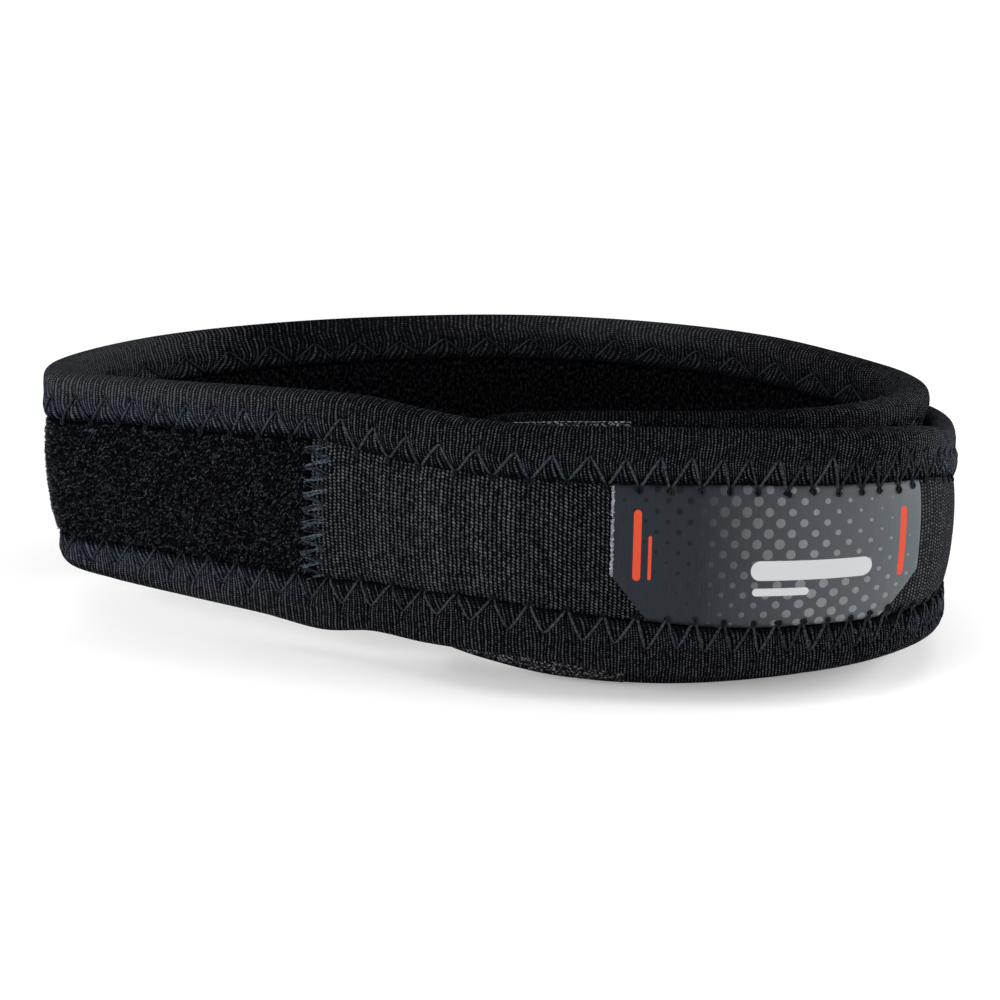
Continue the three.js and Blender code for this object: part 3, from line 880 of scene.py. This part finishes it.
# Bindings: ribbed knit tape folded over each long edge of the band and sewn through with a zigzag.
# The ribs run across the tape, the thread pulls them together and the raw hem is drawn in at each stitch.
TAPE_ROWS = 900
LEG_POINTS = 20
LEG_CLOSER = 1.2
FOLD_POINTS = 17
TAPE_OUT = 2.5
TAPE_UNDER = 1.72
TAPE_AT_HEM = 2.2
TAPE_EASE = 2.2
TAPE_REACH = 6.5
TAPE_SWELL = 0.15
CHANNEL_TOP = 0.8
TAPE_KNIT = {"Wale": 0.5, "Course": 0.42, "Slant": 0.15, "Twist": 0.0}
TAPE_KNIT |= {"Beads": 0.75, "Wander": 0.6, "Steep": 7.5, "Uneven": 0.75}
# The groove colour is painted shade between the ribs
TAPE_GROOVE = (0.0015, 0.0016, 0.0019, 1)
TAPE_CREST = (0.061, 0.0645, 0.0745, 1)
# Along the band: how far the tape is stretched
TAPE_STRETCH = [
    (60, 1.1), (100, 1.2), (122, 1.46), (140, 1.7), (246, 1.7), (256, 1.4), (265, 1.05), (285, 1.15),
    (320, 1.2), (360, 1.18), (400, 1.0),
]
# Along the band: how far every second rib sinks
TAPE_PAIRED = [(160, 0.0), (185, 0.4), (250, 0.5), (345, 0.55), (385, 0.35), (415, 0.0)]
# Along the band: painted cool tint of the light on the sewn part, which fades over these depths from the hem
TAPE_COOL_LIGHT = [(250, 0.0), (262, 1.0), (330, 0.8), (350, 0.2), (415, 0.1), (440, 1.0)]
COOL_LIGHT_REACH = (3.0, 5.5)
# Along the band: share of the knit's tone where the tape is sewn, and on its fold, which paints light and
# shade: paler where the lights fall on it, darker where it lies in shade
UPPER_PAINTED_LIGHT = [
    (55, 1.0, 0.4), (75, 0.9, 1.8), (92, 0.8, 1.5), (110, 0.6, 0.8), (155, 0.6, 1.6), (185, 0.6, 1.1),
    (208, 0.6, 0.4), (232, 0.6, 0.5), (262, 2.5, 3.8), (285, 2.5, 3.4), (310, 2.2, 2.5), (345, 1.0, 1.0),
    (428, 1.0, 0.9), (446, 3.0, 3.0), (475, 1.4, 1.4),
]
LOWER_PAINTED_LIGHT = [
    (225, 1.0, 1.0), (262, 2.9, 0.75), (290, 2.6, 0.95), (315, 2.1, 1.8), (345, 1.0, 1.0), (430, 1.0, 1.0),
    (446, 1.6, 1.4),
]
FOLD_FROM = 3.5
# Painted shade at the hem: share of the tone left at the hem, and the depth over which it comes back
HEM_PAINTED_SHADE = 0.1
HEM_SHADE_REACH = 1.8
# Along the band: painted haze of light between the ribs where the tape is sewn, and on its fold
TAPE_PAINTED_HAZE = [
    (90, 0.0, 0.0), (125, 0.03, 0.05), (160, 0.03, 0.1), (185, 0.03, 0.06), (210, 0.025, 0.02),
    (250, 0.0, 0.0),
]
# Painted haze of light between the ribs, for each unit of the painted tone above 1
PAINTED_SHEEN_HAZE = 0.06
# Along the band: how far the upper tape's fold swells on its outside, from and to these depths from the hem
FOLD_SWELL = [(72, 0.0), (88, 0.6), (108, 0.6), (122, 0.0), (425, 0.0), (446, -0.75), (485, -0.75)]
SWELL_REACH = (2.0, 4.0)
# Along the band: how far the upper tape's hem stands off the pile, which fades over these depths
HEM_LIFT = [(256, 0.0), (268, 0.7), (289, 0.7), (300, 0.0)]
LIFT_REACH = (0.8, 4.5)
# Along the band: pitch of the stitches, near and far depth from the hem, first leg's share of the pitch
STITCH_OUTSIDE = [
    (0.0, 5.8, -0.4, 4.1, 0.55),
    (310.0, 5.2, -0.4, 4.1, 0.57),
    (355.0, 6.4, -0.4, 4.0, 0.6),
    (384.0, 5.5, -0.5, 4.1, 0.6),
    (393.0, 4.8, -1.1, 4.2, 0.66),
    (414.0, 4.0, -1.2, 4.2, 0.72),
    (430.0, 3.0, -1.1, 4.1, 0.74),
    (440.0, 3.0, -0.5, 4.0, 0.65),
    (470.0, 5.0, -0.4, 4.0, 0.55),
]
STITCH_INSIDE = [(0.0, 9.0, 0.5, 4.1, 0.5)]
STITCH_MARGIN = 2.5
NEEDLE_STRAY = {"s": 0.19, "depth": 0.2}
THREAD_DENT = 0.55
LEG_SLANT = 0.55
GROOVE_HALF = 0.65
NEEDLE_DENT = 0.4
DIMPLE_SQUARE = 0.5
HEM_PULL = 0.35
PULL_HALF = 0.8
INSIDE_PULL = 1.4
RIB_SWAY = 0.35
RIB_TILT = 0.65
TILT_REACH = 5
RIB_RAKE = 0.13
RAKE_FROM = 3.0
# The two long edges: which way is out of the band, the route's columns, painted light and shade, and seeds
# of the two zigzags
EDGES = {
    "upper": {"side": 1, "ridge": "high", "hem": "high_hem", "tone_and_painted_light": UPPER_PAINTED_LIGHT, "seeds": (21, 23)},
    "lower": {"side": -1, "ridge": "low", "hem": "low_hem", "tone_and_painted_light": LOWER_PAINTED_LIGHT, "seeds": (22, 24)},
}


def zigzag_row(stitches, mirrored, seed):
    """Needle points of a zigzag along the band: distances along it, and depths in from the hem that
    alternate between near and far. The stitches so far are the sum of the steps over the pitch, and each
    point strays a little. A mirrored row has the longer leg second."""
    rng = np.random.default_rng(seed)
    pitch, near, far, share = (marked(stitches, trace, column) for column in range(1, 5))
    sewn = np.concatenate([[0], np.cumsum(np.diff(trace) / pitch[1:])])
    first = np.interp(STITCH_MARGIN, trace, sewn)
    last = np.interp(BAND_LENGTH - STITCH_MARGIN, trace, sewn)
    number = np.arange(int(2 * (last - first)))
    odd = number % 2
    turn = first + number // 2
    share = np.interp(turn, sewn, share)
    s = np.interp(turn + odd * np.where(mirrored, 1 - share, share), sewn, trace)
    depth = np.where(odd, np.interp(s, trace, far), np.interp(s, trace, near))
    row = {"s": s, "depth": depth}
    return {key: values + rng.normal(0, NEEDLE_STRAY[key], len(s)) for key, values in row.items()}


def bell(gap, half):
    """Bell curve of a gap: 1 at no gap, and the exponential of minus the square of gap over half."""
    return np.exp(-((gap / half) ** 2))


def thread_dent(row, s, depth):
    """How far the sewn thread presses the tape in: a groove under each leg and a deeper dimple at each
    needle point, both bell curves of the distance from it."""
    beside = LEG_SLANT * (depth - np.interp(s, row["s"], row["depth"]))
    nearest = np.clip(np.searchsorted(row["s"], s), 1, len(row["s"]) - 1)
    nearest = nearest - (s - row["s"][nearest - 1] < row["s"][nearest] - s)
    from_point = (s - row["s"][nearest]) ** 2 + (depth - row["depth"][nearest]) ** 2
    groove = THREAD_DENT * bell(beside, GROOVE_HALF)
    return groove + NEEDLE_DENT * np.exp(-from_point / DIMPLE_SQUARE)


def tape_flat(depth):
    """Outward offset of an unsewn tape leg: it eases up from the flat hem and swells before the fold."""
    ease = np.clip(depth / TAPE_EASE, 0, 1)
    swell = np.clip((depth - TAPE_EASE) / (TAPE_REACH - TAPE_EASE), 0, 1)
    return TAPE_AT_HEM + (TAPE_OUT - TAPE_AT_HEM) * ease * (2 - ease) + TAPE_SWELL * np.sin(np.pi * swell)


def tape_offset(row, s, depth):
    """Outward offset of a tape's sewn leg: the flat leg, less what the thread presses in."""
    return tape_flat(depth) - thread_dent(row, s, depth)


def smooth(value, start, end):
    """Share that goes from 0 at start to 1 at end, level at both."""
    part = np.clip((value - start) / (end - start), 0, 1)
    return part * part * (3 - 2 * part)


def tape_painted_light(marks, s, depth):
    """Look of a tape at depths from its hem: the sewn value, the fold's beyond, and less at the hem, where
    painted shade falls.
    """
    sewn = marked(marks, s)
    tone = sewn + (marked(marks, s, 2) - sewn) * smooth(depth, FOLD_FROM, TAPE_REACH)
    return tone * (HEM_PAINTED_SHADE + (1 - HEM_PAINTED_SHADE) * smooth(depth, 0, HEM_SHADE_REACH))


def tape_bulge(s, depth, side):
    """How far the upper tape stands proud on its outside along the band: its fold far from the hem, and its
    hem near it. The lower tape has none."""
    fold = marked(FOLD_SWELL, s) * smooth(depth, *SWELL_REACH)
    lift = marked(HEM_LIFT, s) * (1 - smooth(depth, *LIFT_REACH))
    return (fold + lift) * (side > 0)


def rib_lean(row, s, depth, side):
    """Sideways drift of the ribs where the zigzag pulls them together: a tilt that dies out past the
    stitches, a sine wave along each pair of legs, and on the upper edge a rake the other way beyond."""
    phase = np.interp(s, row["s"], np.pi * np.arange(len(row["s"])))
    fade = np.clip(1 - depth / TILT_REACH, 0, 1)
    rake = RIB_RAKE * np.maximum(depth - RAKE_FROM, 0) * (side > 0)
    return (RIB_SWAY * np.sin(phase) - side * RIB_TILT * fade) * fade - rake


def hem_pull(row, s):
    """How far the thread draws the hem in at its near needle points: a bell curve along the band."""
    near = row["s"][::2]
    after = np.clip(np.searchsorted(near, s), 1, len(near) - 1)
    gap = np.minimum(np.abs(s - near[after - 1]), np.abs(s - near[after]))
    return HEM_PULL * bell(gap, PULL_HALF)


def binding(name, edge, rows, material):
    """Folded tape: up the sewn outside leg, over the fold as half a superellipse, down the inside leg, and
    back along the channel that holds the foam. The lower tape is the same upside down, so its columns are
    turned round to keep its faces outwards."""
    side = edge["side"]
    outside = rows["outside"]
    inside = rows["inside"]
    s = np.linspace(0, BAND_LENGTH, TAPE_ROWS)
    far = s[:, None]
    ridge = along(edge["ridge"], far)
    hem = along(edge["hem"], far) + side * hem_pull(outside, far)
    hem_inside = ridge - side * HEM_INSIDE
    shoulder = ridge - side * FOLD_HEIGHT
    channel = ridge - side * CHANNEL_TOP
    up = np.linspace(0, 1, LEG_POINTS) ** LEG_CLOSER
    leg_out = np.abs(shoulder - hem) * up
    leg_in = np.abs(shoulder - hem_inside) * up[::-1]
    turn = np.linspace(0, np.pi, FOLD_POINTS)[1:-1]
    swell = 2 / FOLD_FULL
    fold_out = TAPE_OUT * np.sign(np.cos(turn)) * np.abs(np.cos(turn)) ** swell + 0 * far
    fold_z = shoulder + side * FOLD_HEIGHT * np.sin(turn) ** swell
    sewn_out = tape_offset(outside, far, leg_out)
    sewn_in = -tape_offset(inside, far, leg_in)
    channel_out = TAPE_UNDER * np.array([-1, -1, 1, 1]) + 0 * far
    channel_depth = TAPE_REACH * np.array([0, 1, 1, 0]) + 0 * far
    offset = np.hstack([sewn_out, fold_out, sewn_in, channel_out])
    depth = np.hstack([leg_out, TAPE_REACH + 0 * fold_out, leg_in, channel_depth])
    sewn_z = hem + side * leg_out
    inside_z = hem_inside + side * leg_in
    z = np.hstack([sewn_z, fold_z, inside_z, hem_inside, channel, channel, hem])
    lean_out = rib_lean(outside, far, leg_out, side)
    lean_in = INSIDE_PULL * rib_lean(inside, far, leg_in, side)
    lean_over = lean_out[:, -1:] + (lean_in[:, :1] - lean_out[:, -1:]) * turn / np.pi
    lean = np.hstack([lean_out, lean_over, lean_in, np.zeros((len(s), channel_out.shape[1] + 1))])
    lean = lean + grain_along(far, TAPE_STRETCH) - far
    offset = offset + tape_bulge(far, depth, side) * np.clip(offset / TAPE_OUT, 0, 1)
    offset = offset * end_share(far)
    # Painted light and shade on the tape: its tone, the haze of light between its ribs, and the cool tint of
    # the light
    tone_and_painted_light = tape_painted_light(edge["tone_and_painted_light"], far, depth)
    looks = {
        "tone_and_painted_light": tone_and_painted_light,
        "painted_light_haze": PAINTED_SHEEN_HAZE * np.maximum(tone_and_painted_light - 1, 0) + tape_painted_light(TAPE_PAINTED_HAZE, far, depth),
        "painted_cool_light": marked(TAPE_COOL_LIGHT, far) * (1 - smooth(depth, *COOL_LIGHT_REACH)),
        "paired": marked(TAPE_PAIRED, far) + 0 * tone_and_painted_light,
    }
    if side < 0:
        offset = offset[:, ::-1]
        z = z[:, ::-1]
        lean = np.hstack([lean[:, -2::-1], lean[:, -1:]])
        looks = {label: values[:, ::-1] for label, values in looks.items()}
    return carry(name, s, offset, z, material, lean=lean, **looks)


rib_tape = knit_finish("rib_tape", TAPE_KNIT, TAPE_GROOVE, TAPE_CREST)
zigzags = {}
for edge_name, edge in EDGES.items():
    seed_outside, seed_inside = edge["seeds"]
    mirrored = edge["side"] < 0
    zigzags[edge_name] = {
        "outside": zigzag_row(STITCH_OUTSIDE, mirrored, seed_outside),
        "inside": zigzag_row(STITCH_INSIDE, mirrored, seed_inside),
    }
    tape = binding(f"{edge_name}_tape", edge, zigzags[edge_name], rib_tape)
    dress(tape, "rib_tape", f"{edge_name}_binding")

# Zigzag stitches: two-ply slate thread that holds both legs of each tape to the band. Each stitch comes up
# at the hem, turns round a far point on the tape and goes down at the hem again.
THREAD_RADIUS = 0.24
THREAD_SIDES = 8
THREAD_RAISED = 0.8
THREAD_DIVE = 0.8
DIVE_REACH = 0.5
HEM_STEP = 0.4
PLY_LOBE = 0.24
PLY_PITCH = 1.5
PLY_TONE = 1.2
FUZZ_SCALE = 2600.0
FUZZ_RANGE = (0.35, 0.7)
FUZZ_TONES = (0.0, 1.6)
STITCH_STEPS = 27
STITCH_ROUND = 0.1
THREAD_DARK = (0.002, 0.004, 0.006, 1)
THREAD_LIGHT = (0.026, 0.037, 0.048, 1)
THREAD_SHADED = (0.015, 0.021, 0.027, 1)
# Tone of a stitch: its range, what it loses by the holes and at the far point, and how far from there
STITCH_TONES = (0.1, 0.9)
HOLE_SHADE = 0.7
HOLE_SHADE_REACH = 1.2
TURN_SHADE = 0.5
TURN_SHADE_REACH = 0.16
# Painted light and shade inside: what a stitch's second leg gains and its first leg loses, and the stretch
# along the band over which the thread dims into painted shade
SECOND_LEG_LIGHT = 0.8
INSIDE_PAINTED_SHADE = (120, 200)
# Along the band: what is added to the tone of the outside thread, painted shade at both ends and painted
# light in the middle
THREAD_PAINTED_LIGHT = [(290, -0.45), (345, 0.0), (380, 0.2), (405, 0.0), (425, -0.35), (450, -0.45)]


def thread_finish(name, dark, light):
    """Twisted thread: bands along the strand paint the shade between its plies, and fine noise its loose
    fibres, from a dark to a light tone."""
    material, tree, shader = finish(name, {"Roughness": 0.55, "Specular IOR Level": 0.12})
    split = parts_of(tree, grain_of(tree))
    ply = work(tree, "PINGPONG", work(tree, "MULTIPLY", split["Y"], 2 / PLY_PITCH), 0.5)
    lit = work(tree, "MULTIPLY_ADD", ply, PLY_TONE, split["X"])
    fuzz = noise(tree, add(tree, "ShaderNodeTexCoord").outputs["Object"], FUZZ_SCALE)
    lit = work(tree, "MULTIPLY", lit, ramp(tree, fuzz, *FUZZ_RANGE, *FUZZ_TONES))
    feed(shader, "Base Color", blend(tree, lit, dark, light))
    roughen(shader, fuzz, 1.0, 0.0001)
    return material


def plied(points):
    """Radius of two plies twisted together: the section has two lobes that turn once in PLY_PITCH."""
    turn = 2 * np.pi * np.arange(THREAD_SIDES) / THREAD_SIDES
    twist = 2 * np.pi * run_along(points)[:, :, None] / PLY_PITCH
    return THREAD_RADIUS * MM * (1 + PLY_LOBE * np.cos(2 * (turn - twist)))


def outer_face(s, z):
    """Offset of what lies on the outside between the hems: the knit, and the pile or the patch on it."""
    on_pile = (s > PILE_START) & (s < PILE_END)
    on_patch = (s > PATCH_START) & (s < PATCH_START + PATCH_LENGTH)
    return face_offset(s, z) + np.where(on_pile, PILE_GROUND, 0) + np.where(on_patch, PATCH_LIFT, 0)


def zigzag_thread(name, row, edge, face, material):
    """The thread of one row, a strand for each stitch. Over a stitch t goes from -1 to 1: the way runs
    straight from hole to far point to hole, and the depth falls off from the far point by a hyperbola. The
    tone is darkest by the holes and at the far point, where painted shade falls. Outside, painted light and
    shade change it along the band; inside, painted shade darkens a stitch's first leg, its second leg gets
    painted light, and it dims along the band. face is 1 outside and -1 inside."""
    side = edge["side"]
    t = np.linspace(-1, 1, STITCH_STEPS)
    count = (len(row["s"]) - 1) // 2
    before, far, after = ({key: row[key][first::2][:count, None] for key in row} for first in range(3))
    hole_s, hole_depth = (np.where(t < 0, before[key], after[key]) for key in ("s", "depth"))
    rise = (np.hypot(t, STITCH_ROUND) - STITCH_ROUND) / (np.hypot(1, STITCH_ROUND) - STITCH_ROUND)
    s = far["s"] + (hole_s - far["s"]) * np.abs(t)
    depth = far["depth"] + (hole_depth - far["depth"]) * rise
    tone = np.random.default_rng(count).uniform(*STITCH_TONES, (count, 1))
    on_tape = tape_offset(row, s, np.maximum(depth, 0))
    if face > 0:
        hem = along(edge["hem"], s)
        on_tape = on_tape + tape_bulge(s, depth, side)
        tone = tone + marked(THREAD_PAINTED_LIGHT, s)
    else:
        hem = along(edge["ridge"], s) - side * HEM_INSIDE
        tone = tone + SECOND_LEG_LIGHT * np.sign(t) - smooth(s, *INSIDE_PAINTED_SHADE)
    z = hem + side * depth
    from_hole = np.hypot(hole_s - s, hole_depth - depth)
    lift = THREAD_RADIUS * THREAD_RAISED - THREAD_DIVE * bell(from_hole, DIVE_REACH)
    past_hem = np.clip(-depth / HEM_STEP, 0, 1)
    offset = face * (on_tape + past_hem * (outer_face(s, z) - on_tape) + lift)
    points, out = outward(s, offset, z)
    tone = tone - HOLE_SHADE * bell(from_hole, HOLE_SHADE_REACH) - TURN_SHADE * bell(t, TURN_SHADE_REACH)
    return strands(name, points, out, plied(points), THREAD_SIDES, tone, material)


slate_thread = thread_finish("slate_thread", THREAD_DARK, THREAD_LIGHT)
# The inside thread is a shaded copy of the slate thread: painted shade
shaded_inside_thread = thread_finish("shaded_inside_thread", THREAD_DARK, THREAD_SHADED)
for face_name, face, thread in (("outside", 1, slate_thread), ("inside", -1, shaded_inside_thread)):
    for edge_name, edge in EDGES.items():
        zigzag = zigzags[edge_name][face_name]
        dress(zigzag_thread(f"stitches_{edge_name}_{face_name}", zigzag, edge, face, thread), "rib_tape")

# Needle holes and knots: at the hem each needle point is a pulled hole in the cloth, whose shade is painted
# with a low dark stud, and the under thread comes up through it as a small dark loop.
HOLE_RADIUS = (0.1, 0.46, 0.4, 0.08)
HOLE_DEPTH = (-0.6, -0.3, -0.06, 0.0)
HOLE_SIDES = 8
HOLE_LONG = 0.4
HOLE_SWAY = 0.3
HOLE_SIZES = (0.75, 1.15)
HOLE_RAISED = 0.2
# Painted shade in the needle holes: the studs' dark colour and their edge's
HOLE_PAINTED_SHADE = (0.0004, 0.0004, 0.0005, 1)
HOLE_SHADE_EDGE = (0.0012, 0.0013, 0.0016, 1)
KNOT_WIDE = 0.3
KNOT_TALL = 0.42
KNOT_RADIUS = 0.17
KNOT_STEPS = 11
KNOT_SIDES = 6
KNOT_SIZES = (0.8, 1.15)
KNOT_STRAY = 0.12
KNOT_RAISED = 0.16
KNOT_DARK = (0.0015, 0.0024, 0.0032, 1)
KNOT_LIGHT = (0.007, 0.01, 0.013, 1)


def needle_hole_shades(name, row, edge, material):
    """Low dark studs of painted shade on the hem's needle points: a ring at each step out of the cloth, wide
    below the top.
    Each ring is drawn out both ways along a line that lies nearly level."""
    rng = np.random.default_rng(len(row["s"]))
    s = row["s"][::2, None]
    depth = row["depth"][::2, None]
    z = along(edge["hem"], s) + edge["side"] * depth
    surface = np.where(depth > 0, tape_flat(depth), outer_face(s, z) + HOLE_RAISED)
    points = on_band(s, surface + np.array(HOLE_DEPTH), z)
    upright = np.array([0.0, 0.0, 1.0])
    turn = 2 * np.pi * np.arange(HOLE_SIDES) / HOLE_SIDES
    level = np.pi / 2 + rng.normal(0, HOLE_SWAY, (len(s), 1, 1))
    drawn = 1 + HOLE_LONG * np.cos(2 * (turn - level))
    radius = MM * np.array(HOLE_RADIUS)[:, None] * drawn * rng.uniform(*HOLE_SIZES, (len(s), 1, 1))
    return strands(name, points, upright, radius, HOLE_SIDES, np.zeros(len(s)), material)


def hem_knots(name, row, edge, material):
    """Small loops of under thread at the hem's needle points: an upright ellipse just past the hem."""
    rng = np.random.default_rng(len(row["s"]))
    near = row["s"][::2, None]
    turn = np.linspace(0, 2 * np.pi, KNOT_STEPS)
    size = rng.uniform(*KNOT_SIZES, near.shape)
    s = near + size * KNOT_WIDE * np.sin(turn) + rng.normal(0, KNOT_STRAY, near.shape)
    z = along(edge["hem"], s) + edge["side"] * (row["depth"][::2, None] + size * KNOT_TALL * np.cos(turn))
    points, out = outward(s, outer_face(s, z) + KNOT_RAISED, z)
    return strands(name, points, out, KNOT_RADIUS * MM, KNOT_SIDES, rng.uniform(0, 1, len(near)), material)


hole_shade_finish = fibre_finish("needle_hole_shade", HOLE_PAINTED_SHADE, HOLE_SHADE_EDGE)
knot_finish = fibre_finish("under_thread", KNOT_DARK, KNOT_LIGHT)
for edge_name, edge in EDGES.items():
    zigzag = zigzags[edge_name]["outside"]
    dress(needle_hole_shades(f"needle_hole_shades_{edge_name}", zigzag, edge, hole_shade_finish), "rib_tape")
    dress(hem_knots(f"hem_knots_{edge_name}", zigzag, edge, knot_finish), "rib_tape")

# Pile seam: a close zigzag of loosely spun thread that ties down the pile's cut end at the front.
# It has frayed into five plies that keep close together, and leans a little as the pile's end does.
SEAM_HALF = 2.0
SEAM_RIGHT = 0.7
SEAM_PAST_HEM = 0.8
SEAM_PITCH = 2.4
SEAM_LEAN = 0.09
SEAM_STEPS = 14
SEAM_SIDES = 6
SEAM_STRAY = 0.3
SEAM_SAG = 0.18
SEAM_WAVE = 0.1
SEAM_ON_PILE = 0.3
SEAM_RAISED = 0.2
SEAM_SUNK = 0.45
SUNK_HALF = 0.125
SEAM_TONES = (-0.4, 0.8)
FALLING_DIM = 0.4
FALLING_THIN = 0.3
SEAM_PLIES = (
    {"radius": 0.14, "seed": 31},
    {"radius": 0.12, "seed": 32},
    {"radius": 0.1, "seed": 33},
    {"radius": 0.09, "seed": 34},
    {"radius": 0.08, "seed": 35},
)
SEAM_DARK = (0.003, 0.005, 0.007, 1)
SEAM_LIGHT = (0.06, 0.085, 0.11, 1)


def seam_ply(name, radius, seed, material):
    """One ply of the seam, a strand for each swing from one side of the pile's end to the other. A swing
    sags by a sine with a smaller wave on it, sinks in at its two holes, and every second one is thinner."""
    rng = np.random.default_rng(seed)
    low, high = between_hems(PILE_END, -SEAM_PAST_HEM)
    count = int(2 * (high - low) / SEAM_PITCH)
    number = np.arange(count)
    hole_z = low + (high - low) * number / (count - 1) + rng.normal(0, SEAM_STRAY, count)
    swing = SEAM_HALF * np.where(number % 2, 1, -1) + rng.normal(0, SEAM_STRAY, count)
    hole_s = PILE_END + SEAM_RIGHT + SEAM_LEAN * (hole_z - (low + high) / 2) + swing
    part = np.linspace(0, 1, SEAM_STEPS)
    s = hole_s[:-1, None] + np.diff(hole_s)[:, None] * part
    sag = rng.normal(0, SEAM_SAG, (count - 1, 1))
    wave = rng.normal(0, SEAM_WAVE, (count - 1, 1))
    bend = sag * np.sin(np.pi * part) + wave * np.sin(3 * np.pi * part)
    z = hole_z[:-1, None] + np.diff(hole_z)[:, None] * part + bend
    on_pile = np.clip(0.5 - (s - PILE_END) / 2, 0, 1)
    sunk = SEAM_SUNK * bell(np.minimum(part, 1 - part), SUNK_HALF)
    lift = (PILE_GROUND + SEAM_ON_PILE) * on_pile + SEAM_RAISED - sunk
    points, out = outward(s, face_offset(s, z) + lift, z)
    falling = number[:-1] % 2
    tone = rng.uniform(*SEAM_TONES, count - 1) - FALLING_DIM * falling
    thickness = radius * MM * (1 - FALLING_THIN * falling)[:, None, None]
    return strands(name, points, out, thickness, SEAM_SIDES, tone, material)


seam_thread = thread_finish("seam_thread", SEAM_DARK, SEAM_LIGHT)
for ply_number, ply in enumerate(SEAM_PLIES, 1):
    dress(seam_ply(f"pile_seam_ply_{ply_number}", **ply, material=seam_thread), "rib_tape")
